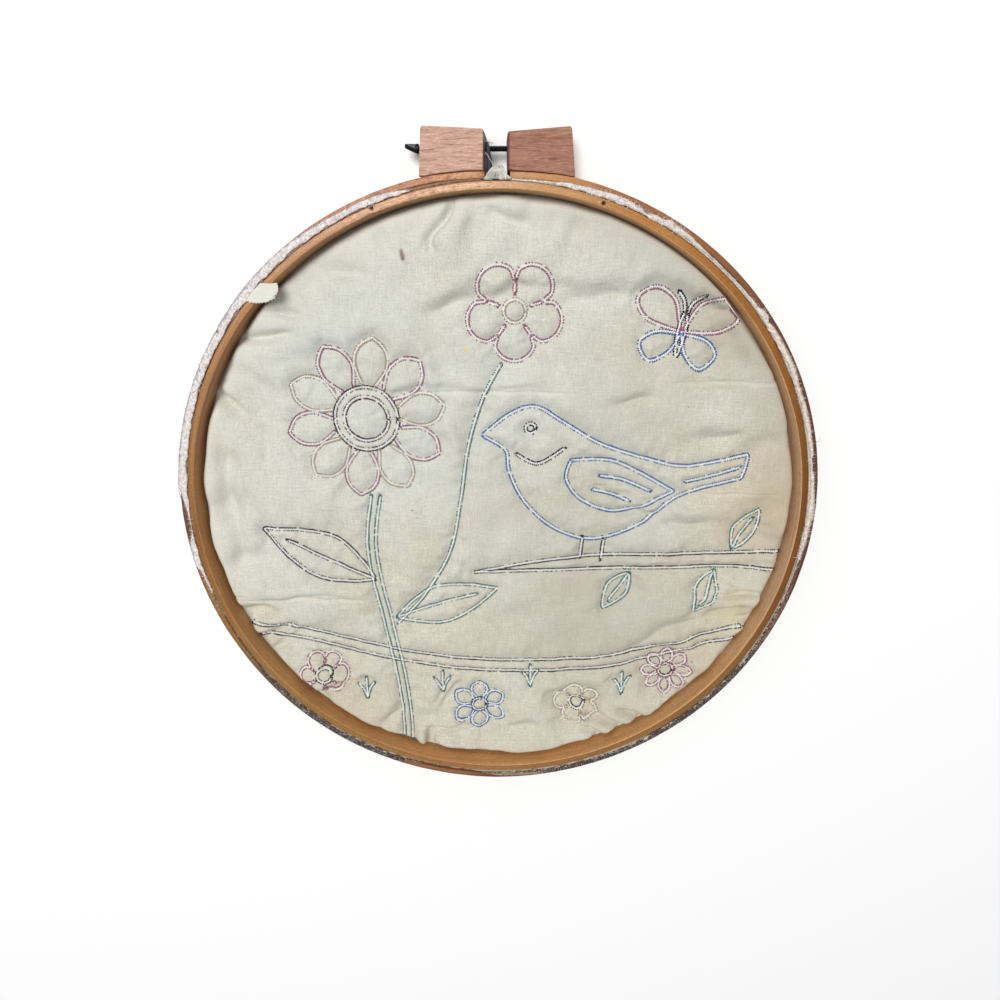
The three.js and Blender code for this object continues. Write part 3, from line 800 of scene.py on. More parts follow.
# ---------------------------------------------------------------- material helpers
class Finish:
    """One material's nodes. Its place is the millimetres from the hoop's centre."""

    def __init__(self, name, roughness, **settings):
        self.material = bpy.data.materials.new(name)
        self.material.use_nodes = True
        self.tree = self.material.node_tree
        self.tree.nodes.clear()
        self.shader = self.node("ShaderNodeBsdfPrincipled", Roughness=roughness)
        for socket, value in settings.items():
            self.shader.inputs[socket.replace("_", " ")].default_value = value
        output = self.node("ShaderNodeOutputMaterial")
        self.tree.links.new(self.shader.outputs[0], output.inputs["Surface"])
        coordinates = self.node("ShaderNodeTexCoord")
        self.place = self.moved(coordinates.outputs["Object"], (1 / MM,) * 3, Location=-CENTRE / MM)

    def node(self, kind, **inputs):
        made = self.tree.nodes.new(kind)
        for name, value in inputs.items():
            self.feed(made.inputs[name.replace("_", " ")], value)
        return made

    def feed(self, socket, value):
        if isinstance(value, bpy.types.NodeSocket):
            self.tree.links.new(value, socket)
        elif socket.type == "RGBA":
            socket.default_value = (*value[:3], 1)
        else:
            socket.default_value = value

    def moved(self, vector, scales, **inputs):
        """A vector scaled along its axes, and moved."""
        return self.node("ShaderNodeMapping", Vector=vector, Scale=scales, **inputs).outputs[0]

    def split(self, vector):
        return self.node("ShaderNodeSeparateXYZ", Vector=vector).outputs[:3]

    def joined(self, x, y, z):
        return self.node("ShaderNodeCombineXYZ", X=x, Y=y, Z=z).outputs[0]

    def math(self, operation, a, b=0.0):
        made = self.tree.nodes.new("ShaderNodeMath")
        made.operation = operation
        self.feed(made.inputs[0], a)
        self.feed(made.inputs[1], b)
        return made.outputs[0]

    def times(self, a, b):
        return self.math("MULTIPLY", a, b)

    def plus(self, a, b):
        return self.math("ADD", a, b)

    def minus(self, a, b):
        return self.math("SUBTRACT", a, b)

    def off(self, value, middle):
        """How far a value is from another, to either side."""
        return self.math("ABSOLUTE", self.minus(value, middle))

    def vector(self, operation, a, b=(0, 0, 0)):
        """A vector's length, or the distance or the sum of two."""
        made = self.tree.nodes.new("ShaderNodeVectorMath")
        made.operation = operation
        self.feed(made.inputs[0], a)
        self.feed(made.inputs[1], b)
        return made.outputs["Vector" if operation == "ADD" else "Value"]

    def noise(self, vector, scale=1.0, detail=2.0, rough=0.5):
        made = self.node("ShaderNodeTexNoise", Vector=vector, Scale=scale, Detail=detail, Roughness=rough)
        return made.outputs[0]

    def grain(self, vector, scales, detail=2.0, rough=0.5):
        """Noise with a scale of its own along each axis."""
        return self.noise(self.moved(vector, scales), 1, detail, rough)

    def between(self, value, low, high, to_low=0.0, to_high=1.0):
        made = self.tree.nodes.new("ShaderNodeMapRange")
        for socket, given in zip(made.inputs[:5], (value, low, high, to_low, to_high)):
            self.feed(socket, given)
        return made.outputs[0]

    def mix(self, factor, a, b, blend="MIX"):
        made = self.tree.nodes.new("ShaderNodeMix")
        made.data_type = "RGBA"
        made.blend_type = blend
        self.feed(made.inputs[0], factor)
        self.feed(made.inputs[6], a)
        self.feed(made.inputs[7], b)
        return made.outputs[2]

    def tinted(self, base, value, low, high, strength, tint, blend="MIX"):
        """The base, and over it a tint that comes in as the value goes from low to high."""
        return self.mix(self.between(value, low, high, 0, strength), base, tint, blend)

    def ramp(self, value, stops):
        """A colour by value, blended between stops of a place from 0 to 1 and a colour."""
        made = self.node("ShaderNodeValToRGB", Fac=value)
        stops = sorted(stops)
        band = made.color_ramp.elements
        while len(band) < len(stops):
            band.new(0.5)
        for element, (place, tone) in zip(band, stops):
            element.position = place
            element.color = (*tone, 1)
        return made.outputs[0]

    def attribute(self, name):
        made = self.tree.nodes.new("ShaderNodeAttribute")
        made.attribute_name = name
        return made

    def weave(self, pitch):
        """A plain weave's height: threads over and under, of uneven thickness."""
        x, y, _ = self.split(self.place)
        slip = self.times(self.noise(self.place, 0.35), 3.0)
        heights = []
        for over, along in ((x, y), (y, x)):
            stretched = self.joined(self.times(over, 1.6), self.times(along, 0.05), 0.0)
            phase = self.plus(self.times(over, math.pi / pitch), slip)
            ridge = self.math("ABSOLUTE", self.math("SINE", phase))
            heights.append(self.plus(ridge, self.times(self.noise(stretched, 1, 3), 1.4)))
        return self.times(*heights)

    def done(self, base, height=None, strength=0.5, distance=0.1, roughness=None):
        """Sets the colour, the bump, with its depth in millimetres, and a varied roughness."""
        self.feed(self.shader.inputs["Base Color"], base)
        if height is not None:
            bump = self.node("ShaderNodeBump", Height=height, Strength=strength, Distance=distance * MM)
            self.feed(self.shader.inputs["Normal"], bump.outputs[0])
        if roughness is not None:
            self.feed(self.shader.inputs["Roughness"], roughness)
        return self.material


# Marks on the backing, in millimetres: place, radius, colour and strength. The small ones are stains and
# specks; the broad soft ones make wide areas of the cloth darker or lighter.
Mark = namedtuple("Mark", "x y radius colour strength")
MARKS = [
    Mark(-40.8, 118.9, 1.25, (0.16, 0.07, 0.03), 0.9),
    Mark(-41.0, 120.0, 1.35, (0.16, 0.07, 0.03), 0.85),
    Mark(-41.2, 121.2, 1.3, (0.20, 0.09, 0.04), 0.85),
    Mark(-41.3, 122.2, 0.9, (0.25, 0.12, 0.06), 0.7),
    Mark(-14, 80, 2.4, (0.78, 0.60, 0.13), 0.6),
    Mark(125, -55, 10, (0.58, 0.50, 0.24), 0.45),
    Mark(-42, 3, 0.6, (0.05, 0.05, 0.05), 0.9),
    Mark(105, -84, 0.7, (0.05, 0.04, 0.04), 0.9),
    Mark(60, -120, 18, (0.56, 0.48, 0.33), 0.35),
    Mark(-78, -110, 26, (0.56, 0.48, 0.34), 0.3),
    Mark(136, 4, 26, (0.55, 0.44, 0.29), 0.6),
    Mark(106, 88, 22, (0.46, 0.39, 0.29), 0.5),
    Mark(108, -82, 22, (0.56, 0.47, 0.34), 0.4),
    Mark(78, -84, 34, (0.50, 0.46, 0.36), 0.2),
    Mark(50, -42, 44, (0.46, 0.43, 0.35), 0.6),
    Mark(-92, -42, 26, (0.50, 0.48, 0.41), 0.15),
    Mark(48, 14, 34, (0.50, 0.49, 0.43), 0.2),
    Mark(-128, 16, 20, (0.54, 0.51, 0.43), 0.15),
    Mark(58, 62, 28, (0.50, 0.48, 0.42), 0.3),
    Mark(-20, 40, 40, (0.58, 0.60, 0.58), 0.35),
    Mark(-80, 92, 34, (0.62, 0.64, 0.62), 0.3),
]

# Fold lines pressed into the backing from its bolt: from one x to another, and their y. Each is painted as
# a line of shade with a painted highlight just below it.
PRESSED = [(-84, 40, 61.5), (76, 142, 66), (-144, -62, -46), (96, 144, 12)]


def calico_finish(colours, sizes):
    """The backing: an uneven weave with painted shade between its threads, slubs, patches of two tones, a
    painted pool of light along the upper-left rim and painted shade along the upper-right rim, specks,
    pressed folds with painted shade and highlight, stains and broad soft patches of darker and lighter
    tone."""
    finish = Finish("calico_backing", 0.92, Sheen_Weight=0.08, Sheen_Roughness=0.5, Specular_IOR_Level=0.2)
    x, y, _ = finish.split(finish.place)
    patchy = finish.noise(finish.place, 0.02, 3, 0.55)
    slope = finish.between(finish.minus(finish.times(y, 1.4), x), -170, 170, -0.16, 0.14)
    cool = finish.between(finish.plus(patchy, slope), 0.36, 0.62)
    base = finish.mix(cool, colours.calico, colours.calico_cool)
    weave = finish.weave(sizes.thread_pitch)
    # Painted shade between the weave's threads: the cloth is darker where the weave lies low.
    base = finish.mix(finish.between(weave, 0.6, 1.9, 0.2, 0.0), base, (0.36, 0.32, 0.24))
    for scales, low, high, strength, tone in (
        ((1.5, 0.12, 1), 0.5, 0.7, 0.34, (0.86, 0.84, 0.75)),
        ((0.12, 1.5, 1), 0.5, 0.7, 0.34, (0.85, 0.83, 0.73)),
        ((0.14, 1.6, 1), 0.52, 0.72, 0.28, (0.40, 0.36, 0.27)),
        ((1.6, 0.14, 1), 0.52, 0.72, 0.26, (0.40, 0.36, 0.27)),
        ((1.5, 1.5, 1), 0.5, 0.66, 0.2, (0.36, 0.32, 0.24)),
        ((1.6, 1.6, 1.3), 0.5, 0.66, 0.28, (0.94, 0.93, 0.87)),
    ):
        slubs = finish.grain(finish.place, scales)
        base = finish.tinted(base, slubs, low, high, strength, tone)
    flat = finish.joined(x, y, 0.0)
    out = finish.vector("LENGTH", flat)
    # Painted light along the rim: a painted pool of light on the upper-left rim, against the ring's shade
    # there, and painted shade along the upper-right rim.
    for across_y, across_x, low, high, starts, strength, tone in (
        (0.8, -0.6, 10, 100, 128, 0.6, (0.84, 0.82, 0.73)),
        (0.55, 0.85, 76, 116, 120, 0.4, (0.38, 0.35, 0.30)),
    ):
        side = finish.plus(finish.times(y, across_y), finish.times(x, across_x))
        rim = finish.between(out, starts, 144, 0, strength)
        base = finish.mix(finish.times(finish.between(side, low, high), rim), base, tone)
    for cell, radius, strength in ((6.5, 0.34, 0.6), (3.1, 0.18, 0.5)):
        dots = finish.node("ShaderNodeTexVoronoi", Vector=finish.place, Scale=1 / cell)
        far = dots.outputs["Distance"]
        base = finish.tinted(base, far, radius / cell, 0.6 * radius / cell, strength, (0.22, 0.16, 0.10))
    for x0, x1, at in PRESSED:
        stray = finish.times(finish.grain(flat, (0.05, 0.05, 1)), 2.5)
        off = finish.minus(finish.plus(y, stray), at + 1.25)
        within = finish.times(finish.between(x, x0, x0 + 16), finish.between(x, x1, x1 - 16))
        # A painted shade line along the fold, then a painted highlight beside it, as if lit from above.
        for low, high, strength, tone in (
            (0.55, 0.25, 0.42, (0.30, 0.27, 0.22)),
            (1.6, 0.7, 0.22, (0.90, 0.88, 0.80)),
        ):
            near = finish.between(finish.math("ABSOLUTE", off), low, high, 0, strength)
            base = finish.mix(finish.times(near, within), base, tone)
            off = finish.plus(off, 0.9)
    for mark in MARKS:
        ragged = finish.times(finish.noise(finish.place, 2.2 / mark.radius), mark.radius)
        far = finish.plus(finish.vector("DISTANCE", flat, (mark.x, mark.y, 0)), ragged)
        fades_at = (2.2 if mark.radius > 5 else 1.6) * mark.radius
        base = finish.tinted(base, far, fades_at, 0.6 * mark.radius, mark.strength, mark.colour)
    rumple = finish.noise(finish.place, 0.45, 3, 0.55)
    return finish.done(base, finish.plus(finish.times(weave, 0.4), rumple), 0.6, 0.15)


def plain_cloth_finish(name, tone, sizes):
    finish = Finish(name, 0.9, Sheen_Weight=0.1, Specular_IOR_Level=0.25)
    weave = finish.weave(sizes.thread_pitch)
    darker = [0.72 * c for c in tone]
    lighter = [min(1.18 * c + 0.01, 1) for c in tone]
    # Painted shade between the weave's threads: darker where the weave lies low.
    base = finish.mix(finish.between(weave, 0.6, 1.9), darker, tone)
    base = finish.tinted(base, finish.noise(finish.place, 0.06, 3), 0.4, 0.7, 1, lighter)
    return finish.done(base, weave, 0.5, 0.08)


def loop_finish(sizes):
    """The pucker's pale cloth: its folds run round the arch with painted shade in their depths, and painted
    shade darkens its foot and hollow."""
    finish = Finish("loop_cloth", 0.9, Sheen_Weight=0.1, Specular_IOR_Level=0.25)
    x, y, z = finish.split(finish.place)
    out = finish.times(finish.vector("DISTANCE", finish.place, (0.2, 148.6, 15)), 1.1)
    folds = finish.noise(finish.joined(out, finish.times(x, 0.25), finish.times(y, 0.25)), 1, 3)
    # Painted shade: the folds' low parts, which the bump sinks, are greyer.
    base = finish.mix(finish.between(folds, 0.4, 0.56), (0.58, 0.57, 0.50), (0.90, 0.88, 0.82))
    # Painted shade darkens the cloth below 14.2 mm, down in the hollow and at the foot.
    base = finish.tinted(base, z, 14.2, 12.5, 0.85, (0.05, 0.035, 0.025))
    base = finish.tinted(base, finish.noise(finish.place, 1.3), 0.55, 0.68, 0.7, (0.82, 0.80, 0.74))
    height = finish.plus(finish.times(folds, 3.4), finish.weave(sizes.thread_pitch))
    return finish.done(base, height, 0.6, 0.2)


def raw_edge_finish():
    """The frayed edge: its own painted colours in darker and lighter clumps, with pale and dark flecks."""
    finish = Finish("raw_edge", 0.95, Sheen_Weight=0.2, Specular_IOR_Level=0.2)
    paint = finish.attribute("edge_colour")
    painted, frayed = paint.outputs["Color"], paint.outputs["Alpha"]
    clumps = finish.noise(finish.place, 0.8, 3, 0.6)
    base = finish.mix(finish.between(clumps, 0.36, 0.5, 0.6, 0.0), painted, (0.62, 0.58, 0.62), "MULTIPLY")
    base = finish.tinted(base, clumps, 0.54, 0.66, 0.8, (1.3, 1.3, 1.3), "MULTIPLY")
    flecks = finish.noise(finish.place, 1.3, 3, 0.6)
    bright = finish.times(frayed, finish.between(flecks, 0.58, 0.65, 0.0, 0.7))
    base = finish.mix(bright, base, (0.84, 0.80, 0.77))
    base = finish.tinted(base, flecks, 0.39, 0.34, 0.45, (0.10, 0.07, 0.06))
    return finish.done(base, finish.noise(finish.place, 1.8, 4, 0.7), 0.9, 0.5)


def thread_finish(name, tone):
    finish = Finish(f"thread_{name}", 0.5, Sheen_Weight=0.04, Specular_IOR_Level=0.2)
    shade = finish.noise(finish.place, 0.9)
    base = finish.mix(finish.between(shade, 0.35, 0.6), [0.85 * c for c in tone], tone)
    return finish.done(base, finish.noise(finish.place, 7), 0.3, 0.04)


# The step from one thread of a satin row to the next, in millimetres.
SATIN_PITCH = 0.38


def satin_finish(name, tone):
    """Close-laid thread across a row: its ridges follow the distance along the row, with painted shade in
    the grooves between them.
    """
    finish = Finish(f"satin_{name}", 0.4, Sheen_Weight=0.3, Specular_IOR_Level=0.45)
    along = finish.attribute("along").outputs["Fac"]
    ridges = finish.math("SINE", finish.times(along, 2 * math.pi / SATIN_PITCH))
    base = finish.mix(finish.between(ridges, -1, 1), [0.6 * c for c in tone], tone)
    return finish.done(base, ridges, 0.7, 0.08)


def chart(red, green, blue):
    """A colour given as 0 to 255, made linear and set for this light."""
    return tuple(0.88 * ((c / 255 + 0.055) / 1.055) ** 2.4 for c in (red, green, blue))


# The rings' colours round the hoop, by degrees. Each ring's own tone varies round it, and painted light is
# mixed in: the inner ring's top is painted lighter and pinker at the upper left, where the highlight falls,
# and the wall of its hollow side is painted lighter where light falls on it and darker where it lies in
# shade.
INNER_TONES = {
    90: (222, 172, 132), 80: (212, 157, 98), 66: (196, 132, 60), 52: (180, 116, 46), 24: (142, 88, 24),
    5: (124, 74, 18), 345: (132, 82, 26), 320: (150, 108, 58), 270: (168, 122, 77), 230: (162, 122, 68),
    200: (160, 112, 62), 184: (145, 99, 51), 165: (172, 124, 76), 135: (192, 138, 90), 106: (216, 166, 131),
}
# The inner ring's wall by degrees: painted light, lighter on the lower and right sides and darker at the
# top and left.
WALL_PAINTED_LIGHT = {
    90: (186, 146, 98), 70: (216, 164, 112), 45: (218, 164, 106), 10: (220, 178, 142), 345: (220, 178, 138),
    320: (220, 168, 116), 300: (214, 160, 104), 270: (212, 156, 98), 240: (210, 152, 96),
    215: (214, 156, 96), 200: (200, 142, 84), 180: (188, 130, 70), 165: (180, 126, 76), 140: (176, 122, 74),
    110: (176, 132, 84),
}
OUTER_TONES = {
    90: (207, 152, 108), 80: (207, 147, 88), 70: (170, 108, 62), 50: (143, 92, 52), 38: (106, 64, 46),
    0: (100, 60, 44), 300: (104, 66, 46), 268: (120, 80, 56), 262: (158, 108, 72), 252: (158, 108, 70),
    244: (90, 64, 48), 224: (112, 90, 68), 214: (122, 98, 70), 208: (160, 116, 62), 196: (162, 117, 64),
    182: (120, 76, 48), 160: (172, 120, 84), 122: (190, 132, 102), 104: (196, 138, 106),
}
# Two nail holes in the inner ring's top, and a chip beside each with its radius.
NAIL_HOLES = [(-51.4, 137.7), (43.9, 139.6)]
CHIPS = [(-52.4, 138.9, 14, 0.5), (42.0, 140.1, 14, 0.35)]


def round_the_hoop(tones):
    """A colour ramp's stops for tones by degrees, from the seam at the blocks round to the seam again."""
    return [((90 - at) % 360 / 360, chart(*tone)) for at, tone in tones.items()] + [(1, chart(*tones[90]))]


def ring_wood_finish(name, tones, wall_painted_light, seed, rough):
    """Varnished bentwood: the grain runs round the ring, its seam lies at the blocks, and the wall of its
    hollow side may take painted light and shade of its own."""
    finish = Finish(name, rough, Specular_IOR_Level=0.4)
    x, y, z = finish.split(finish.place)
    turn = finish.math("ARCTAN2", finish.times(x, -1), finish.times(y, -1))
    flat = finish.joined(x, y, 0.0)
    out = finish.vector("LENGTH", flat)
    strip = finish.joined(finish.plus(finish.times(turn, 148), seed), out, z)
    share = finish.between(turn, -math.pi, math.pi)
    base = finish.ramp(share, round_the_hoop(tones))
    if wall_painted_light:
        wall = finish.ramp(share, round_the_hoop(wall_painted_light))
        base = finish.mix(finish.between(out, INNER_HOLLOW + 0.3, INNER_HOLLOW + 0.12), base, wall)
        # The wall darkens towards its foot by the cloth: partly stains, partly painted shade where the wall
        # meets the cloth.
        foot = finish.plus(z, finish.times(finish.grain(strip, (0.05, 0, 0.15), 3), 9))
        base = finish.tinted(base, foot, 11, 7.5, 0.5, (0.5, 0.42, 0.3), "MULTIPLY")
        # A painted highlight along the arris between the ring's top and its hollow side.
        arris_highlight = finish.plus(finish.off(z, 13.75), finish.off(out, INNER_HOLLOW + 0.2))
        base = finish.tinted(base, arris_highlight, 0.4, 0.2, 0.2, (1.3, 1.35, 1.4), "MULTIPLY")
        # A thin dark line round the top face on the lower side of the ring.
        dark_line = finish.between(finish.off(out, INNER_HOLLOW + 0.6), 0.24, 0.06, 0, 0.6)
        dark_line = finish.times(dark_line, finish.between(y, -100, -130))
        base = finish.mix(dark_line, base, (0.5, 0.4, 0.3), "MULTIPLY")
    for scales, detail, low, high, strength, tint in (
        ((0.008, 0.75, 0.75), 4, 0.62, 0.36, 0.35, (0.66, 0.58, 0.50)),
        ((0.02, 1.6, 1.6), 4, 0.5, 0.72, 0.5, (1.25, 1.27, 1.3)),
        ((0.012, 2.4, 2.4), 2, 0.56, 0.66, 0.55, (1.3, 1.36, 1.42)),
        ((0.014, 2.2, 2.2), 2, 0.56, 0.66, 0.5, (0.68, 0.6, 0.5)),
        ((0.06, 3.4, 3.4), 3, 0.5, 0.72, 0.4, (0.68, 0.6, 0.5)),
        ((0.22, 6, 6), 2, 0.6, 0.72, 0.5, (0.45, 0.36, 0.28)),
        ((0.7, 1.7, 1.7), 3, 0.48, 0.66, 0.75, (0.74, 0.68, 0.6)),
        ((0.8, 1.9, 1.9), 3, 0.48, 0.66, 0.75, (1.24, 1.26, 1.28)),
        ((0.09, 0.9, 0.9), 5, 0.64, 0.72, 0.4, (1.4, 1.5, 1.65)),
        ((0.05, 0.05, 0.05), 3, 0.45, 0.65, 0.35, (0.78, 0.72, 0.64)),
    ):
        grain = finish.grain(strip, scales, detail, 0.62)
        base = finish.tinted(base, grain, low, high, strength, tint, "MULTIPLY")
    worn = finish.between(finish.off(share, 0.966), 0.05, 0.03)
    mottle = finish.grain(strip, (0.42, 1.1, 1.1), 4, 0.75)
    for low, high, tint in ((0.5, 0.68, (1.55, 1.62, 1.65)), (0.48, 0.36, (0.5, 0.4, 0.32))):
        patches = finish.times(worn, finish.between(mottle, low, high, 0, 0.8))
        base = finish.mix(patches, base, tint, "MULTIPLY")
    for *chip, radius in CHIPS:
        far = finish.plus(finish.vector("DISTANCE", finish.place, chip), finish.noise(finish.place, 2))
        base = finish.tinted(base, far, radius + 0.7, radius + 0.3, 0.9, chart(222, 184, 150))
    # Painted shade darkens each nail hole all the way down.
    for hole in NAIL_HOLES:
        far = finish.vector("DISTANCE", flat, (*hole, 0))
        base = finish.tinted(base, far, 1.0, 0.7, 0.97, (0.03, 0.018, 0.01))
    streaks = finish.grain(strip, (0.035, 2.6, 2.6), 3, 0.6)
    pores = finish.grain(strip, (0.22, 6, 6))
    uneven_gloss = finish.between(streaks, 0.3, 0.7, rough - 0.08, rough + 0.12)
    return finish.done(base, finish.minus(streaks, finish.times(pores, 0.8)), 0.35, 0.12, uneven_gloss)


def block_wood_finish(colours):
    """Open-grained hardwood, its grain along the blocks, hardly sanded, with painted glints, and dark at
    the sawn ends, partly from end grain and partly as painted shade.
    """
    finish = Finish("block_hardwood", 0.62, Specular_IOR_Level=0.4)
    x, _, _ = finish.split(finish.place)
    base = finish.mix(finish.between(x, -1, 1), colours.left_block, colours.right_block)
    warp = finish.times(finish.noise(finish.place, 0.09), 6)
    bent = finish.vector("ADD", finish.place, finish.joined(0.0, warp, 0.0))
    # Grain and pores, and in the third row painted highlight: bright specks that stand for glints on the
    # rough wood.
    for vector, scales, low, high, strength, tint in (
        (bent, (0.05, 0.95, 0.95), 0.62, 0.36, 0.7, (0.68, 0.6, 0.56)),
        (finish.place, (0.07, 2.2, 2.2), 0.5, 0.75, 0.7, (0.62, 0.54, 0.5)),
        (finish.place, (0.3, 2.0, 2.0), 0.52, 0.64, 0.7, (1.4, 1.5, 1.58)),
        (finish.place, (0.09, 1.5, 1.5), 0.56, 0.64, 0.6, (0.45, 0.38, 0.36)),
        (finish.place, (0.24, 3.0, 3.0), 0.58, 0.66, 0.6, (0.25, 0.19, 0.18)),
    ):
        grain = finish.grain(vector, scales, 4, 0.62)
        base = finish.tinted(base, grain, low, high, strength, tint, "MULTIPLY")
    # The ends by the gap are darker: partly end grain, partly painted shade on the faces that look into the
    # gap.
    ends = finish.between(finish.math("ABSOLUTE", x), 5.6, 5.0, 0, 0.85)
    base = finish.mix(ends, base, (0.25, 0.2, 0.2), "MULTIPLY")
    fine = finish.grain(finish.place, (0.16, 2.8, 2.8), 3, 0.6)
    pores = finish.grain(finish.place, (0.34, 3.4, 3.4), 4, 0.62)
    return finish.done(base, finish.minus(fine, pores), 0.7, 0.3)


def steel_finish(tone):
    finish = Finish("blackened_steel", 0.36, Metallic=0.85)
    wear = finish.noise(finish.place, 1.4, 4, 0.7)
    base = finish.tinted(tone, wear, 0.55, 0.7, 0.6, (0.10, 0.10, 0.11))
    return finish.done(base, wear, 0.3, 0.06, finish.between(wear, 0.35, 0.7, 0.28, 0.5))


def floor_finish(tone):
    return Finish("pale_floor", 0.9, Specular_IOR_Level=0.1).done(tone)


# ---------------------------------------------------------------- the quilt's mesh
# The squares across each grid, the materials' numbers, and then, in millimetres: the radius of the grids'
# rim, the flat cloth's width, the two radii of the cloth's wall between the rings and the wall's steps, the
# outer ring's inside, the height of the raw edge's foot, and the height under which it stays tucked in.
BACK_GRID, FRONT_GRID = 250, 110
BACKING, FRAYED, GROUND, FIRST_PATCH = 0, 1, 2, 3
RIM = 144.8
WALL_INNER, WALL_OUTER = 148.4, 149.5
WALL_STEPS = 5
INSIDE_OF_OUTER = 149.8
EDGE_FOOT = 14.1
TUCKED = 14.2


def to_disc(a, b, radius):
    """Carries a square's grid onto a disc, so that the cloth has no pole."""
    if abs(a) > abs(b):
        return polar(radius * a, math.pi / 4 * b / a)
    if b == 0:
        return 0.0, 0.0
    return polar(radius * b, math.pi / 2 - math.pi / 4 * a / b)


def rim_section(turn):
    """The quilt's section at its rim: up the back's wall, over the raw edge and down the front's wall.

    Each entry is a radius, a height and how far across the raw edge it lies, or None off it.
    """
    edge = raw_edge(math.degrees(turn))
    cos, sin = math.cos(turn), math.sin(turn)
    base = min(EDGE_FOOT, edge.top - 0.35)
    fray = 0.22 * uneven(110 * cos, 110 * sin, 1)
    wavy = uneven(24 * cos, 24 * sin, 3) + 0.6 * uneven(62 * cos, 62 * sin, 6)
    inner = edge.inner - 0.6 * abs(fray) + 0.75 * wavy * blend_over(edge.top, 14.3, 14.6)
    ring_inner = INSIDE_OF_OUTER + by_degrees(OUTER_STRAY, turn) - 0.1
    wall = min(WALL_OUTER, ring_inner)
    outer = edge.outer + fray if edge.top > TUCKED else min(edge.outer, ring_inner)
    high = min(12, base - 0.6)
    back = WALL_INNER + by_degrees(INNER_LAP, turn)
    section = [(148.0, CLAMPED_BACK, None), (back, 2.2, None), (back, 6, None), (back, high, None)]
    section += [(back, base - 0.1, None), (inner, base + 0.05, 0.0), (inner + 0.05, edge.top - 0.25, 0.0)]
    for t in (0.15, 0.35, 0.55, 0.75, 0.9):
        r = inner + t * (outer - inner)
        tufts = 0.3 * uneven(90 * cos, 90 * sin, 2.2 * r)
        section.append((r, edge.top - 0.2 * (2 * t - 1) ** 2 + tufts - 0.1, t))
    section += [(outer, edge.top - 0.25, 1.0), (outer - 0.05, base + 0.06, 1.0), (wall, base - 0.1, None)]
    section += [(wall, high, None), (wall, 1.6, None), (wall - 0.2, 0.75, None), (148.3, 0.45, None)]
    return section + [(RIM + 1, None, None)]


def edge_colour(turn, t, colours):
    """The raw edge's colour: cream backing inside, batting in the middle and the front's cloth outside,
    with painted shade along its inner side and beside the cream on dark cloths.

    Its alpha says how much pale fluff shows on it.
    """
    edge = raw_edge(math.degrees(turn))
    cos, sin = math.cos(turn), math.sin(turn)
    across_edge = t + (0.22 * uneven(70 * cos, 70 * sin, 4) + 0.12 * uneven(160 * cos, 160 * sin, 9 * t))
    # The edge's inner side takes painted shade: a shadow line on the pale left side, dark shade on dark
    # cloths, else cream.
    if t == 0 and edge.top > 14.3:
        shadow_lined = edge.front < 0.4 and -0.94 < cos < -0.17
        return (*(EDGE_SHADOW_LINE if shadow_lined else EDGE_PAINTED_SHADE if edge.front > 0.4 else EDGE_CREAM), 1)
    if across_edge < edge.cream:
        return (*EDGE_CREAM, 1)
    if edge.front > 0.6 and across_edge < edge.cream + 0.3:
        return (*EDGE_PAINTED_SHADE, 1)
    if across_edge < 1 - edge.front:
        warm = blend_over(cos, 0.2, 0.7)
        return (*(c * (1 - warm * dim) for c, dim in zip(colours.batting, (0.02, 0.07, 0.16))), 1)
    return (*edge.cloth, 0 if edge.top < TUCKED else 1 if edge.front < 0.6 else 0.55)


def quilt_materials(colours, sizes):
    """The quilt's materials, in the order of their numbers."""
    patches = [plain_cloth_finish(f"patch_{name}", tone, sizes) for name, tone in PATCHES.items()]
    ground = plain_cloth_finish("front_ground", tuple(colours.ground), sizes)
    return [calico_finish(colours, sizes), raw_edge_finish(), ground, *patches]


def inside(outline, x, y):
    """Which of the points x, y, in arrays, lie inside a closed outline."""
    within = np.zeros(len(x), bool)
    for a, b in zip(outline, outline[1:] + outline[:1]):
        spans = (a.y > y) != (b.y > y)
        rise = b.y - a.y if abs(b.y - a.y) > 1e-9 else 1e-9
        within ^= spans & (x < a.x + (y - a.y) / rise * (b.x - a.x))
    return within


def patch_numbers(x, y):
    """The material number of the front's cloth at each of the points x, y."""
    patches = list(PATCHES)
    numbers = np.full(len(x), GROUND)
    below_hill = y < np.interp(x, *zip(*smooth(HILL, 2)))
    numbers[below_hill] = FIRST_PATCH + patches.index("slate")
    for row, path in zip(ROWS, PATHS):
        if row.patch:
            outline = [place for place, _, _ in path]
            numbers[inside(outline, x, y)] = FIRST_PATCH + patches.index(row.patch)
    return numbers


def add_disc(bm, count, height, sizes):
    """A disc of cloth of even squares; returns its rim's edges."""
    made = bmesh.ops.create_grid(bm, x_segments=count, y_segments=count, size=1)
    for vert in made["verts"]:
        x, y = to_disc(vert.co.x, vert.co.y, RIM)
        vert.co = (x, y, height(x, y, sizes))
    verts = set(made["verts"])
    return [edge for edge in bm.edges if edge.is_boundary and edge.verts[0] in verts]


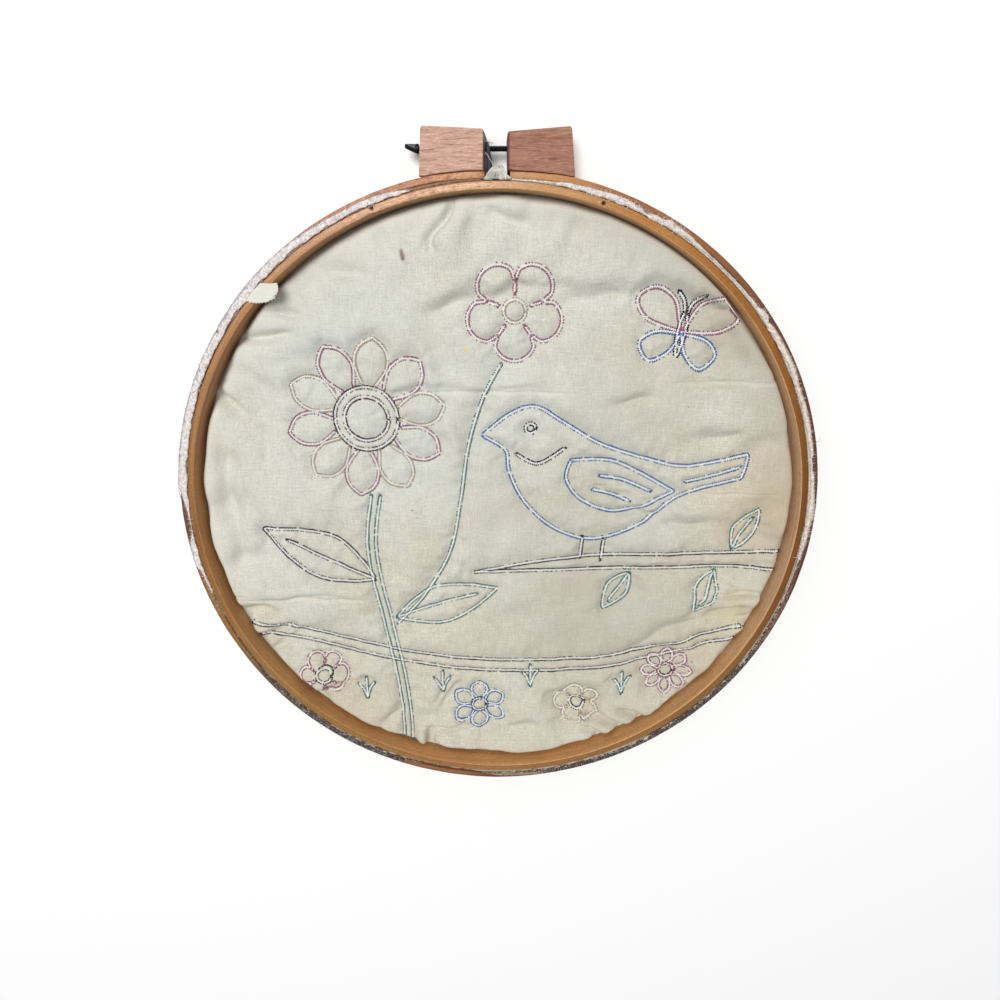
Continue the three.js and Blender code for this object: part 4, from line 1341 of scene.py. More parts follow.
class HOOP_OT_quilt(bpy.types.Operator):
    """Make the quilt: its back with the sewn channels, its raw edge round the rim, and its front"""

    bl_idname = "hoop.quilt"
    bl_label = "Quilt"

    def execute(self, context):
        colours = context.scene.hoop_colours
        sizes = in_mm(context.scene.quilt_sizes)
        bm = bmesh.new()
        paint = bm.verts.layers.float_color.new("edge_colour")
        edges = add_disc(bm, BACK_GRID, back_height, sizes)
        steps = len(rim_section(0))
        sections = {}
        for step in range(steps):
            made = bmesh.ops.extrude_edge_only(bm, edges=edges)["geom"]
            edges = [part for part in made if isinstance(part, bmesh.types.BMEdge)]
            number = BACKING if step < WALL_STEPS else FRAYED if step < steps - WALL_STEPS else GROUND
            for face in {face for edge in edges for face in edge.link_faces}:
                face.material_index = number
            for vert in (part for part in made if isinstance(part, bmesh.types.BMVert)):
                turn = math.atan2(vert.co.y, vert.co.x)
                key = round(turn, 5)
                if key not in sections:
                    sections[key] = rim_section(turn)
                r, z, share = sections[key][step]
                x, y = polar(r, turn)
                vert.co = (x, y, front_height(x, y, sizes) if z is None else z)
                if share is not None:
                    vert[paint] = edge_colour(turn, share, colours)
        front = len(bm.faces)
        inner_edges = add_disc(bm, FRONT_GRID, front_height, sizes)
        bm.faces.ensure_lookup_table()
        centres = [face.calc_center_median() for face in bm.faces[front:]]
        numbers = patch_numbers(np.array([c.x for c in centres]), np.array([c.y for c in centres]))
        for face, number in zip(bm.faces[front:], numbers):
            face.material_index = int(number)
        seam = bmesh.ops.bridge_loops(bm, edges=edges + inner_edges)["faces"]
        for face in seam:
            face.material_index = GROUND
        bmesh.ops.recalc_face_normals(bm, faces=bm.faces)
        open_edges = sum(1 for edge in bm.edges if not edge.is_manifold)
        if open_edges:
            raise RuntimeError(f"the quilt has {open_edges} open edges")
        add_piece(bm, "quilt_cloth", quilt_materials(colours, sizes), ["quilt"])
        return {"FINISHED"}


# The pucker of cloth that stands in the gap between the blocks, in plan: its outer line and its hollow.
LOOP_OUTER = [
    (-5.2, 148.35), (-4.3, 149.6), (-3.1, 151.4), (-1.4, 153), (0.6, 153.4),
    (2.3, 152.9), (3.7, 151.3), (4.8, 149.7), (6.3, 148.5),
]
LOOP_HOLLOW = [
    (-1.7, 148.35), (-1.2, 149.2), (-0.7, 150.3), (-0.1, 151.5), (0.4, 150.6), (0.9, 149.3), (1.3, 148.35),
]
LOOP_LOW, LOOP_HIGH, LOOP_STEPS = 0.6, 15.1, 12
# The tab in plan, from the ring inward: its pinked lower edge and its upper edge.
TAB_LOWER = [
    (-108.4, 101.9), (-105.9, 100.8), (-103.1, 100.6), (-98.7, 101), (-96.9, 101.8), (-94.9, 103.7),
]
TAB_UPPER = [(-100.7, 108.8), (-97.1, 108.6), (-93.6, 108.8)]
TAB_HEIGHT, TAB_THICKNESS = 14.45, 0.45


class HOOP_OT_cloth_loop(bpy.types.Operator):
    """Make the pucker of cloth in the hoop's gap"""

    bl_idname = "hoop.cloth_loop"
    bl_label = "Pucker in the gap"

    def execute(self, context):
        sizes = in_mm(context.scene.quilt_sizes)
        bm = bmesh.new()
        outline = smooth(LOOP_OUTER, 0.35) + list(reversed(smooth(LOOP_HOLLOW, 0.35)))
        face = bm.faces.new([bm.verts.new((*place, LOOP_LOW)) for place in outline])
        for _ in range(LOOP_STEPS):
            face = raised(bm, face, (LOOP_HIGH - LOOP_LOW) / LOOP_STEPS)
        bmesh.ops.inset_region(bm, faces=[face], thickness=0.28, depth=0.3)
        bmesh.ops.triangulate(bm, faces=[face])
        for vert in bm.verts:
            fold = uneven(vert.co.x / 1.4, vert.co.y / 1.4, vert.co.z / 4)
            vert.co.x += 0.14 * fold
            vert.co.z += 0.5 * fold * blend_over(vert.co.z, 13, 15)
        bmesh.ops.recalc_face_normals(bm, faces=bm.faces)
        add_piece(bm, "cloth_loop", [loop_finish(sizes)])
        return {"FINISHED"}


def along_line(points, share):
    """The place at a share of a line's length."""
    spans = [math.dist(a, b) for a, b in zip(points, points[1:])]
    left = share * sum(spans)
    for a, b, span in zip(points, points[1:], spans):
        if left <= span:
            return Vector(a).lerp(Vector(b), left / span)
        left -= span
    return Vector(points[-1])


class HOOP_OT_cloth_tab(bpy.types.Operator):
    """Make the tab of backing that folds in over the hoop"""

    bl_idname = "hoop.cloth_tab"
    bl_label = "Folded tab"

    def execute(self, context):
        bm = bmesh.new()
        bmesh.ops.create_grid(bm, x_segments=60, y_segments=24, size=1)
        for vert in bm.verts:
            u, v = (vert.co.x + 1) / 2, (vert.co.y + 1) / 2
            pinked = 0.17 * math.sin(u * 21 * math.pi) * blend_over(1 - v, 0.7, 1)
            ragged = 0.14 * uneven(u * 14, v * 9, 2)
            place = along_line(TAB_LOWER, u).lerp(along_line(TAB_UPPER, u), v)
            tip = math.sin(math.pi * v) + 0.18 * math.sin(v * 11 * math.pi)
            place += Vector((blend_over(u, 0.75, 1) * tip, pinked + ragged))
            curl = u * u + 0.35 * math.sin(2.4 * u + 2 * v) + 0.3 * bell(v, 0.3) * u
            vert.co = (*place, TAB_HEIGHT + 0.3 * blend_over(u, 0, 0.15) + curl + 0.1 * ragged)
        bmesh.ops.recalc_face_normals(bm, faces=bm.faces)
        bmesh.ops.solidify(bm, geom=bm.faces[:], thickness=TAB_THICKNESS)
        bmesh.ops.recalc_face_normals(bm, faces=bm.faces)
        add_piece(bm, "cloth_tab", [bpy.data.materials["calico_backing"]])
        return {"FINISHED"}


# ---------------------------------------------------------------- stitching
def across(direction):
    return Vector((-direction.y, direction.x))


class HOOP_OT_bobbin_thread(bpy.types.Operator):
    """Lay the white bobbin thread's zigzag along every sewn row"""

    bl_idname = "hoop.bobbin_thread"
    bl_label = "Bobbin thread"

    def execute(self, context):
        sizes = in_mm(context.scene.satin_sizes)
        tree = ground_tree()
        chance = random.Random(3)
        runs = []
        for path in PATHS:
            run = []
            for i, (place, direction, _) in enumerate(path):
                side = across(direction) * (1 if i % 2 else -1)
                reach = sizes.bobbin_reach * chance.uniform(0.8, 1.15)
                slip = direction * chance.uniform(-0.1, 0.1)
                turn = on_cloth(tree, place + reach * side + slip, 0.6 * sizes.bobbin_radius)
                if run:
                    middle = (run[-1][0] + turn) / 2
                    run.append((middle + Vector((0, 0, 0.14)), chance.uniform(0.85, 1.1)))
                run.append((turn, chance.uniform(0.8, 1)))
            runs.append(run)
        mesh = thread_mesh("bobbin_thread", runs, sizes.bobbin_radius)
        finished(mesh, "bobbin_thread", [thread_finish("bobbin", THREADS["bobbin"])])
        return {"FINISHED"}


def edge_loops(tree, path, sizes, chance):
    """The coloured thread's short loops at both edges of a satin row, more of them at one edge."""
    runs = []
    heavy = chance.choice((-1, 1))
    for side in (-1, 1):
        strong = side == heavy
        i = chance.uniform(0.5, 2)
        while i < len(path) - 2:
            if chance.random() < (0.95 if strong else 0.8):
                run = []
                half = chance.uniform(0.5, 1.1) if strong else chance.uniform(0.3, 0.65)
                for step, width in ((i - half, 0.7), (i, 1.1), (i + half, 0.7)):
                    k = min(max(int(step), 0), len(path) - 2)
                    place = path[k][0].lerp(path[k + 1][0], step - k)
                    out = sizes.half_width * chance.uniform(0.9, 1.08) * side
                    thick = width * (1.0 if strong else 0.85)
                    lift = 0.35 * sizes.loop_radius if step == i else -0.02
                    run.append((on_cloth(tree, place + out * across(path[k][1]), lift), thick))
                runs.append(run)
            i += chance.uniform(1.5, 2.6) if strong else chance.uniform(1.4, 2.8)
    return runs


def knot(tree, place, chance):
    """The small tangle where a row's thread is tied off."""
    run = []
    for _ in range(chance.randint(5, 8)):
        spot = place + Vector((chance.uniform(-0.8, 0.8), chance.uniform(-0.8, 0.8)))
        run.append((on_cloth(tree, spot, chance.uniform(0.1, 0.5)), chance.uniform(0.7, 1)))
    return run


class HOOP_OT_coloured_loops(bpy.types.Operator):
    """Lay the coloured thread's loops at the edges of every sewn row"""

    bl_idname = "hoop.coloured_loops"
    bl_label = "Coloured loops"

    def execute(self, context):
        sizes = in_mm(context.scene.satin_sizes)
        tree = ground_tree()
        chance = random.Random(11)
        for name, thread_colour in THREADS.items():
            runs = []
            for path in paths_in(name):
                runs += edge_loops(tree, path, sizes, chance)
                runs += [knot(tree, path[0][0], chance), knot(tree, path[-1][0], chance)]
            if runs:
                mesh = thread_mesh(f"loops_{name}", runs, sizes.loop_radius)
                finished(mesh, f"loops_{name}", [thread_finish(name, thread_colour)])
        return {"FINISHED"}


# How deep the satin rows sink into the front, in millimetres.
SATIN_SUNK = 0.08


def flat_profile(half_width):
    """A satin row's section: nearly flat, a little crowned, and lower than it is wide."""
    curve = bpy.data.curves.new("satin_profile", "CURVE")
    spline = curve.splines.new("POLY")
    points = [(-1, -0.1), (-0.75, 0.2), (0, 0.3), (0.75, 0.2), (1, -0.1), (0, -0.2)]
    spline.points.add(len(points) - 1)
    spline.points.foreach_set("co", [c * MM for u, v in points for c in (u * half_width, -v, 0, 1 / MM)])
    spline.use_cyclic_u = True
    profile = bpy.data.objects.new("satin_profile", curve)
    bpy.context.scene.collection.objects.link(profile)
    return profile


class HOOP_OT_front_satin(bpy.types.Operator):
    """Sew the satin rows on the front of the quilt"""

    bl_idname = "hoop.front_satin"
    bl_label = "Satin on the front"

    def execute(self, context):
        sizes = in_mm(context.scene.satin_sizes)
        quilt_sizes = in_mm(context.scene.quilt_sizes)
        profile = flat_profile(sizes.front_half_width)
        for name, thread_colour in THREADS.items():
            runs = []
            for path in paths_in(name):
                places = [place for place, _, _ in path[::3]]
                heights = [front_height(*place, quilt_sizes) - SATIN_SUNK for place in places]
                runs.append([(Vector((*place, height)), 1) for place, height in zip(places, heights)])
            if runs:
                mesh = thread_mesh(f"satin_{name}", runs, 1, profile=profile)
                places = [(vert.co - CENTRE) / MM for vert in mesh.vertices]
                alongs = [nearest_row(place.x, place.y)[2] for place in places]
                mesh.attributes.new("along", "FLOAT", "POINT").data.foreach_set("value", alongs)
                finished(mesh, f"satin_{name}", [satin_finish(name, thread_colour)])
        curve = profile.data
        bpy.data.objects.remove(profile)
        bpy.data.curves.remove(curve)
        return {"FINISHED"}


# ---------------------------------------------------------------- loose fibres and threads
# How thickly fibres stand on the raw edge: from one degree to another, their number, their length, their
# slant from straight out, in degrees, and their kind, by the number of its material.
Tuft = namedtuple("Tuft", "start end count length slant kind")
TUFTS = [
    Tuft(0, 30, 240, 1.6, 20, 0),
    Tuft(39, 44, 70, 1.4, 40, 0),
    Tuft(44, 57, 50, 0.7, 40, 0),
    Tuft(57, 76, 420, 1.5, 30, 0),
    Tuft(76, 92, 90, 1.0, 30, 2),
    Tuft(108, 130, 240, 1.5, 30, 0),
    Tuft(130, 200, 700, 1.6, 25, 0),
    Tuft(200, 260, 330, 1.2, 40, 1),
    Tuft(219, 253, 160, 1.6, 50, 0),
    Tuft(264, 298, 220, 0.9, 30, 1),
    Tuft(282, 328, 300, 1.0, 25, 1),
    Tuft(282, 328, 170, 0.8, 60, 0),
    Tuft(328, 346, 130, 0.9, 30, 2),
    Tuft(353, 360, 110, 1.6, 25, 0),
]


FIBRE_RADIUS = 0.085


def edge_fibre(tuft, chance):
    """One fibre that lies over the raw edge and lifts a little at its end."""
    at = chance.uniform(tuft.start, tuft.end)
    edge = raw_edge(at)
    out = Vector(polar(1, math.radians(at)))
    heading = Vector(turned([out], 0, 0, chance.gauss(0, tuft.slant))[0])
    if chance.random() < 0.4:
        heading = -heading
    start = out * chance.uniform(edge.inner, edge.outer)
    reach = tuft.length * chance.uniform(0.4, 1.2)
    side = across(heading) * chance.uniform(-0.35, 0.35) * reach
    low = edge.top - chance.uniform(0.1, 0.45)
    rise = chance.uniform(0.1, 0.5)
    middle = start + heading * reach * 0.5 + side
    end = start + heading * reach + side * 0.4
    return [
        (Vector((*start, low)), 1),
        (Vector((*middle, low + rise)), 0.8),
        (Vector((*end, max(low + 0.3 * rise, EDGE_FOOT))), 0.3),
    ]


# Loose threads, by kind, thickness and the places they pass, in millimetres. The thick one is a twist of
# the front's dark cloth that hangs between the left block and the pucker; its near-black tone also stands
# in as painted shade for the shadowed gap beside the left block.
LOOSE_THREADS = [
    (1, 15, [
        (-3.1, 151.2, 12.2), (-2.9, 153.5, 12.2), (-3.0, 156, 12), (-3.3, 158.6, 11.6), (-4.0, 162.4, 11),
    ]),
    (0, 1.5, [
        (-4.4, 158.3, 12.9), (-3.6, 157.4, 13.2), (-2.3, 155.2, 14), (-0.9, 153.2, 14.6),
        (0.4, 152.2, 15.2),
    ]),
    (3, 1.5, [(1, 152.6, 15), (2.2, 153.4, 14.6), (3.2, 152.3, 14.2)]),
    (3, 1.5, [(-3.2, 163.2, 7.5), (-2, 162.6, 8.4), (-1.1, 162.9, 7.6)]),
    (1, 1.5, [(5.2, 152.2, 14.6), (7, 151.6, 14.9), (9.5, 151.2, 14.6)]),
    (0, 1.3, [(147.4, 40.2, 15.0), (148.4, 40.6, 15.6), (147.8, 40.4, 15.3)]),
    (0, 1.5, [(146.6, 39.9, 14.9), (147.6, 40.5, 15.4), (148.1, 41.5, 14.7)]),
    (0, 1.4, [(149.0, -17.6, 14.9), (147.2, -17.9, 14.8), (145.5, -18.2, 14.3), (145.0, -17.3, 13.4)]),
    (0, 1.2, [(148.6, -6.4, 15.0), (147.6, -5.6, 14.8), (147.3, -4.6, 14.5)]),
    (0, 1.2, [(148.7, -2.2, 15.0), (147.7, -2.6, 14.8), (147.5, -1.8, 14.5)]),
    (1, 1.8, [(-147.8, -3.9, 15.2), (-149.9, 1.5, 15.4), (-149.6, 8.2, 15.4), (-151, 16.4, 15.2)]),
    (0, 1.5, [(126.6, 76.0, 15.1), (128.3, 76.6, 16), (129.6, 79, 15.4)]),
    (0, 1.5, [(-133.4, 66.4, 15.3), (-134.6, 68.6, 16), (-133.6, 70.4, 15.5)]),
    (0, 1.5, [(146.9, 40.2, 15.2), (148.3, 40.5, 15.8), (147.6, 42.5, 15.2)]),
]


class HOOP_OT_fibres(bpy.types.Operator):
    """Fray the raw edge with loose fibres and hang the loose threads in the gap"""

    bl_idname = "hoop.fibres"
    bl_label = "Loose fibres"

    def execute(self, context):
        chance = random.Random(29)
        colours = context.scene.hoop_colours
        runs, kinds = [], []
        for tuft in TUFTS:
            for _ in range(tuft.count):
                runs.append(edge_fibre(tuft, chance))
                kinds.append(tuft.kind if chance.random() < 0.85 else chance.choice((0, 2)))
        for kind, thickness, places in LOOSE_THREADS:
            taper = np.linspace(1, 0.6, len(places))
            runs.append([(Vector(place), thickness * share) for place, share in zip(places, taper)])
            kinds.append(kind)
        mesh = thread_mesh("edge_fibres", runs, FIBRE_RADIUS, kinds)
        materials = [
            thread_finish("fibre_white", tuple(colours.batting)),
            thread_finish("fibre_dark", (0.05, 0.045, 0.06)),
            thread_finish("fibre_cream", EDGE_CREAM),
            thread_finish("fibre_grey", (0.28, 0.32, 0.33)),
        ]
        finished(mesh, "edge_fibres", materials)
        return {"FINISHED"}


# ---------------------------------------------------------------- the rings
GAP_LEFT_X, GAP_RIGHT_X = -4.9, 5.6


def full_ring(sizes):
    """The inner ring: its section spun right round."""
    bm = bmesh.new()
    inner = sizes.inner_outside - sizes.inner_wall
    faces = section_face(bm, sizes.inner_bottom, HOOP_TOP, inner, sizes.inner_outside, sizes.eased_edge)
    bmesh.ops.delete(bm, geom=faces, context="FACES_ONLY")
    geom = bm.verts[:] + bm.edges[:]
    bmesh.ops.spin(bm, geom=geom, axis=(0, 0, 1), angle=2 * math.pi, steps=360, use_merge=True)
    bmesh.ops.recalc_face_normals(bm, faces=bm.faces)
    return bm


def split_ring(sizes):
    """The outer ring: its section spun round from one side of the gap to the other."""
    bm = bmesh.new()
    inner, middle = sizes.outer_outside - sizes.outer_wall, sizes.outer_outside - sizes.outer_wall / 2
    faces = section_face(bm, 0, HOOP_TOP, inner, sizes.outer_outside, sizes.eased_edge)
    start = math.acos(GAP_RIGHT_X / middle)
    sweep = 2 * math.pi - (math.acos(GAP_LEFT_X / middle) - start)
    bmesh.ops.rotate(bm, matrix=Matrix.Rotation(start, 3, "Z"), verts=bm.verts)
    geom = bm.verts[:] + bm.edges[:] + faces
    bmesh.ops.spin(bm, geom=geom, axis=(0, 0, -1), angle=sweep, steps=356)
    bmesh.ops.recalc_face_normals(bm, faces=bm.faces)
    return bm


HOLE_INSET, HOLE_ROUNDING, HOLE_DEPTH = 0.72, 0.28, 1.6


def nail_hole(bm, x, y):
    """A small round hole in the ring's upper face."""
    bm.faces.ensure_lookup_table()
    place = Vector((x, y, HOOP_TOP))
    face = min(bm.faces, key=lambda f: (f.calc_center_median() - place).length)
    bmesh.ops.inset_individual(bm, faces=[face], thickness=HOLE_INSET)
    rounded(bm, face.verts[:], HOLE_ROUNDING, 3, "VERTICES")
    face = min(bm.faces, key=lambda f: (f.calc_center_median() - place).length)
    made = bmesh.ops.extrude_discrete_faces(bm, faces=[face])["faces"]
    bmesh.ops.translate(bm, vec=(0, 0, -HOLE_DEPTH), verts=made[0].verts)


class HOOP_OT_rings(bpy.types.Operator):
    """Make the inner ring and the split outer ring"""

    bl_idname = "hoop.rings"
    bl_label = "Rings"

    def execute(self, context):
        sizes = in_mm(context.scene.hoop_sizes)
        inner = full_ring(sizes)
        for x, y in NAIL_HOLES:
            nail_hole(inner, x, y)
        for vert in inner.verts:
            flat = Vector((vert.co.x, vert.co.y, 0))
            if flat.length > sizes.inner_outside - sizes.inner_wall / 2:
                vert.co += flat.normalized() * by_degrees(INNER_LAP, math.atan2(flat.y, flat.x))
        bend_strip(inner, sizes.waver, 2)
        wood = ring_wood_finish("honey_bentwood", INNER_TONES, WALL_PAINTED_LIGHT, 0, 0.42)
        add_piece(inner, "inner_ring", [wood], ["inner_hoop"])
        outer = split_ring(sizes)
        bend_strip(outer, 0.3 * sizes.waver, 7, OUTER_STRAY)
        wood = ring_wood_finish("brown_bentwood", OUTER_TONES, None, 300, 0.5)
        add_piece(outer, "outer_ring", [wood], ["outer_hoop"])
        return {"FINISHED"}


# ---------------------------------------------------------------- blocks and thumbscrew
Block = namedtuple("Block", "name node depth middle twist bore_from bore_to corners")
BLOCKS = [
    Block("block_left_wood", "block_left", 13.2, 7.7, -4, -60, 0, [
        (-31.2, 149.9), (-5, 149.2), (-4.5, 166.4), (-29.9, 167.9),
    ]),
    Block("block_right_wood", "block_right", 13.4, 7.2, 1.5, -20, 24.5, [
        (4.5, 149.2), (31.8, 149.4), (29.9, 167.6), (4.2, 165.6),
    ]),
]
SEAT_RADIUS, SEAT_STEPS = 152.8, 12
BLOCK_CORNER, BLOCK_ARRIS = 1.1, 0.45
SCREW_Y, SCREW_Z = 160.8, 7.0
SHAFT_RADIUS, SHAFT_START, SHAFT_END = 0.92, -32, 22
SCREW_ROOT, SCREW_CREST, SCREW_PITCH, SCREW_TURNS, STEPS_A_TURN = 0.86, 1.15, 0.8, 66, 12
# The collar's two steps, by radius and from where to where along the shaft.
COLLARS = [(1.9, -33.0, -31.8), (1.5, -33.4, -33.0)]
BORE_RADIUS = 1.5
BLADE_REACH, BLADE_HALF_WIDTH, BLADE_THICKNESS = 5.4, 4, 1.6
BLADE_X = -32.3


def block_outline(block):
    """The block in plan, with its lower side cut to sit on the outer ring."""
    first, second, third, fourth = block.corners
    seat = []
    for i in range(SEAT_STEPS + 1):
        x = first[0] + (second[0] - first[0]) * i / SEAT_STEPS
        y = first[1] + (second[1] - first[1]) * i / SEAT_STEPS
        radius = SEAT_RADIUS + by_degrees(OUTER_STRAY, math.atan2(y, x))
        seat.append((x, max(y, math.sqrt(radius**2 - x**2))))
    return seat + [third, fourth]


def drilled(mesh, cutter):
    """The mesh with the cutter's shape taken out of it."""
    block = bpy.data.objects.new("block_blank", mesh)
    drill = bpy.data.objects.new("block_drill", cutter)
    for part in (block, drill):
        bpy.context.scene.collection.objects.link(part)
    cut = block.modifiers.new("bore", "BOOLEAN")
    cut.object = drill
    cut.solver = "EXACT"
    depsgraph = bpy.context.evaluated_depsgraph_get()
    made = bpy.data.meshes.new_from_object(block.evaluated_get(depsgraph))
    bpy.data.objects.remove(block)
    bpy.data.objects.remove(drill)
    return made


def cylinder(radius, low, high, sides=20):
    """A cylinder along X on the screw's axis."""
    bm = bmesh.new()
    turn = Matrix.Translation(((low + high) / 2, SCREW_Y, SCREW_Z)) @ Matrix.Rotation(math.pi / 2, 4, "Y")
    bmesh.ops.create_cone(
        bm, cap_ends=True, segments=sides, radius1=radius, radius2=radius, depth=high - low, matrix=turn
    )
    return bm


class HOOP_OT_blocks(bpy.types.Operator):
    """Make the two blocks, with their seats on the outer ring and the bore for the screw"""

    bl_idname = "hoop.blocks"
    bl_label = "Blocks"

    def execute(self, context):
        wood = block_wood_finish(context.scene.hoop_colours)
        for block in BLOCKS:
            bm = bmesh.new()
            low = block.middle - block.depth / 2
            verts = [bm.verts.new((x, y, low)) for x, y in block_outline(block)]
            bm.faces.new(verts)
            rounded(bm, verts[-2:], BLOCK_CORNER, 3, "VERTICES")
            face, = bm.faces
            raised(bm, face, block.depth)
            rounded(bm, level_edges(bm), BLOCK_ARRIS, 2)
            middle = Vector(((block.corners[0][0] + block.corners[1][0]) / 2, 0, block.middle))
            twist = Matrix.Rotation(math.radians(block.twist), 3, "Y")
            bmesh.ops.rotate(bm, cent=middle, matrix=twist, verts=bm.verts)
            bmesh.ops.recalc_face_normals(bm, faces=bm.faces)
            cutter = settled(cylinder(BORE_RADIUS, block.bore_from, block.bore_to), "bore")
            mesh = drilled(settled(bm, block.name, False), cutter)
            finished(mesh, block.name, [wood], [block.node])
        return {"FINISHED"}


def thread_on(bm):
    """Winds the screw's thread onto its shaft."""
    ridge = [(-31.4, SCREW_ROOT), (-31.1, SCREW_CREST), (-30.9, SCREW_CREST), (-30.6, SCREW_ROOT)]
    tooth = bm.faces.new([bm.verts.new((x, SCREW_Y + r, SCREW_Z)) for x, r in ridge])
    bmesh.ops.spin(
        bm, geom=[tooth, *tooth.verts, *tooth.edges], cent=(0, SCREW_Y, SCREW_Z), axis=(1, 0, 0),
        dvec=(SCREW_PITCH / STEPS_A_TURN, 0, 0), angle=2 * math.pi * SCREW_TURNS,
        steps=STEPS_A_TURN * SCREW_TURNS,
    )


def blade():
    """The screw's flat head: square where it meets the collar, rounded at its far end, turned a little."""
    bm = bmesh.new()
    outline = [(0, BLADE_HALF_WIDTH)]
    for i in range(1, 24):
        turn = math.pi / 2 + math.pi * i / 24
        half = math.copysign(BLADE_HALF_WIDTH * (1 + math.cos(turn)) ** 0.7, math.sin(turn))
        outline.append((BLADE_REACH * math.cos(turn), half))
    outline.append((0, -BLADE_HALF_WIDTH))
    face = bm.faces.new([bm.verts.new((x, y, -BLADE_THICKNESS / 2)) for x, y in outline])
    raised(bm, face, BLADE_THICKNESS)
    rounded(bm, level_edges(bm), 0.3, 2)
    for degrees, axis in ((-12, "Y"), (116, "X")):
        bmesh.ops.rotate(bm, matrix=Matrix.Rotation(math.radians(degrees), 3, axis), verts=bm.verts)
    bmesh.ops.translate(bm, vec=(BLADE_X, SCREW_Y, SCREW_Z), verts=bm.verts)
    return bm


class HOOP_OT_thumbscrew(bpy.types.Operator):
    """Make the thumbscrew: its threaded shaft, its collar and its flat head"""

    bl_idname = "hoop.thumbscrew"
    bl_label = "Thumbscrew"

    def execute(self, context):
        bm = cylinder(SHAFT_RADIUS, SHAFT_START, SHAFT_END)
        thread_on(bm)
        for radius, low, high in COLLARS:
            collar = cylinder(radius, low, high, 28)
            rounded(collar, level_edges(collar, 0), 0.18, 2)
            add_part(bm, collar)
        add_part(bm, blade())
        bmesh.ops.recalc_face_normals(bm, faces=bm.faces)
        finish = steel_finish(tuple(context.scene.hoop_colours.steel))
        add_piece(bm, "thumbscrew_steel", [finish], ["thumbscrew"], False)
        return {"FINISHED"}


# ---------------------------------------------------------------- stage
CAMERA_PLACE = Vector((0.00318, 0.09721, 0.29221))
CAMERA_LOOK = Vector((-0.00588, -0.31930, -0.94763))
CAMERA_LENS, CAMERA_SENSOR = 22.16, 36


def area_light(name, place, target, size, power, tint):
    light = bpy.data.lights.new(name, "AREA")
    light.shape = "DISK"
    light.size = size
    light.energy = power
    light.color = tint
    holder = bpy.data.objects.new(name, light)
    holder.location = place
    holder.rotation_euler = (Vector(target) - Vector(place)).to_track_quat("-Z", "Y").to_euler()
    bpy.context.scene.collection.objects.link(holder)


class HOOP_OT_stage(bpy.types.Operator):
    """Set up the pale floor, the soft light and the camera"""

    bl_idname = "hoop.stage"
    bl_label = "Floor, light and camera"

    def execute(self, context):
        scene = context.scene
        bm = bmesh.new()
        bmesh.ops.create_grid(bm, x_segments=8, y_segments=8, size=1.5)
        mesh = bpy.data.meshes.new("floor")
        bm.to_mesh(mesh)
        bm.free()
        mesh.materials.append(floor_finish(tuple(scene.hoop_colours.floor)))
        floor = bpy.data.objects.new("floor", mesh)
        scene.collection.objects.link(floor)
        area_light("key_light", (-0.44, 0.74, 2.24), (0, 0, 0), 1.3, 48, (1, 0.98, 0.935))
        world = bpy.data.worlds.new("studio")
        world.use_nodes = True
        background = world.node_tree.nodes["Background"]
        background.inputs["Color"].default_value = (0.93, 0.97, 1, 1)
        background.inputs["Strength"].default_value = 0.38
        scene.world = world
        scene.view_settings.view_transform = "Standard"
        camera = bpy.data.cameras.new("camera")
        camera.lens = CAMERA_LENS
        camera.sensor_width = CAMERA_SENSOR
        camera.clip_start = 0.01
        holder = bpy.data.objects.new("camera", camera)
        right = CAMERA_LOOK.cross(Vector((0, 1, 0))).normalized()
        up = right.cross(CAMERA_LOOK).normalized()
        turn = Matrix((right, up, -CAMERA_LOOK.normalized())).transposed()
        holder.matrix_world = Matrix.Translation(CAMERA_PLACE) @ turn.to_4x4()
        scene.collection.objects.link(holder)
        scene.camera = holder
        return {"FINISHED"}


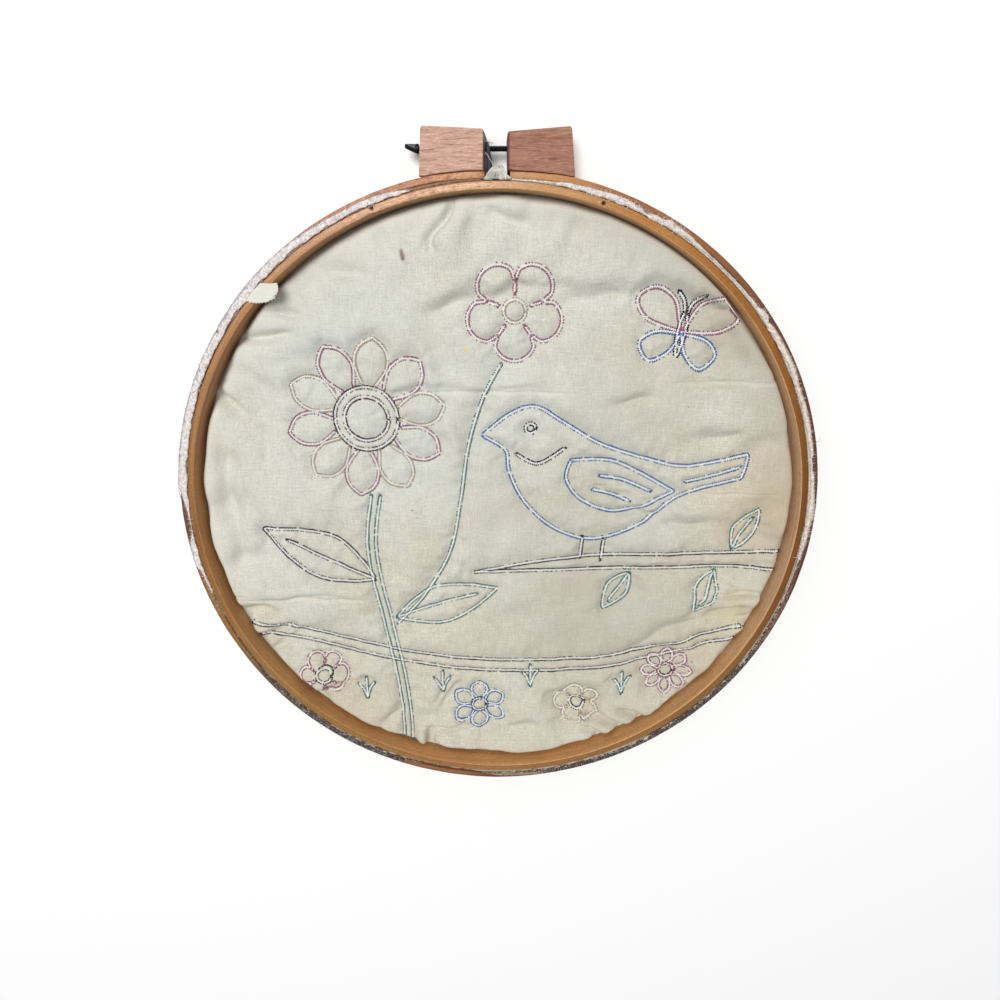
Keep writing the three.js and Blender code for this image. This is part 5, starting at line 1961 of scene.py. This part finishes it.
# ---------------------------------------------------------------- panel and running order
OPERATORS = [
    HOOP_OT_quilt,
    HOOP_OT_cloth_loop,
    HOOP_OT_cloth_tab,
    HOOP_OT_bobbin_thread,
    HOOP_OT_coloured_loops,
    HOOP_OT_front_satin,
    HOOP_OT_fibres,
    HOOP_OT_rings,
    HOOP_OT_blocks,
    HOOP_OT_thumbscrew,
    HOOP_OT_stage,
]
GROUPS = {
    "hoop_sizes": HoopSizes,
    "quilt_sizes": QuiltSizes,
    "satin_sizes": SatinSizes,
    "hoop_colours": HoopColours,
}


class HOOP_PT_panel(bpy.types.Panel):
    """The hoop's sizes, its colours and the buttons that make its pieces"""

    bl_idname = "HOOP_PT_panel"
    bl_label = "Quilted applique in a hoop"
    bl_space_type = "VIEW_3D"
    bl_region_type = "UI"
    bl_category = "Hoop"

    def draw(self, context):
        for group_name, group in GROUPS.items():
            box = self.layout.box()
            box.label(text=group.__doc__)
            for name in group.__annotations__:
                box.prop(getattr(context.scene, group_name), name)
        for operator in OPERATORS:
            self.layout.operator(operator.bl_idname)


def register():
    for kind in (*GROUPS.values(), *OPERATORS, HOOP_PT_panel):
        bpy.utils.register_class(kind)
    for name, group in GROUPS.items():
        setattr(bpy.types.Scene, name, bpy.props.PointerProperty(type=group))


def unregister():
    for name in GROUPS:
        delattr(bpy.types.Scene, name)
    for kind in reversed((*GROUPS.values(), *OPERATORS, HOOP_PT_panel)):
        bpy.utils.unregister_class(kind)


def declare_cloth():
    """Gathers the pieces sewn onto the quilt, a disc cut a little wider than the hoop and held between its
    rings; nothing more is done with them.
    """
    sewn = [piece for piece in bpy.data.objects if piece.name.startswith(("loops_", "satin_"))]
    sewn += [bpy.data.objects[name] for name in ("cloth_loop", "cloth_tab", "bobbin_thread", "edge_fibres")]


def main():
    register()
    bpy.ops.hoop.quilt()
    bpy.ops.hoop.cloth_loop()
    bpy.ops.hoop.cloth_tab()
    bpy.ops.hoop.bobbin_thread()
    bpy.ops.hoop.coloured_loops()
    bpy.ops.hoop.front_satin()
    bpy.ops.hoop.fibres()
    bpy.ops.hoop.rings()
    bpy.ops.hoop.blocks()
    bpy.ops.hoop.thumbscrew()
    bpy.ops.hoop.stage()
    declare_cloth()


if __name__ == "__main__":
    main()
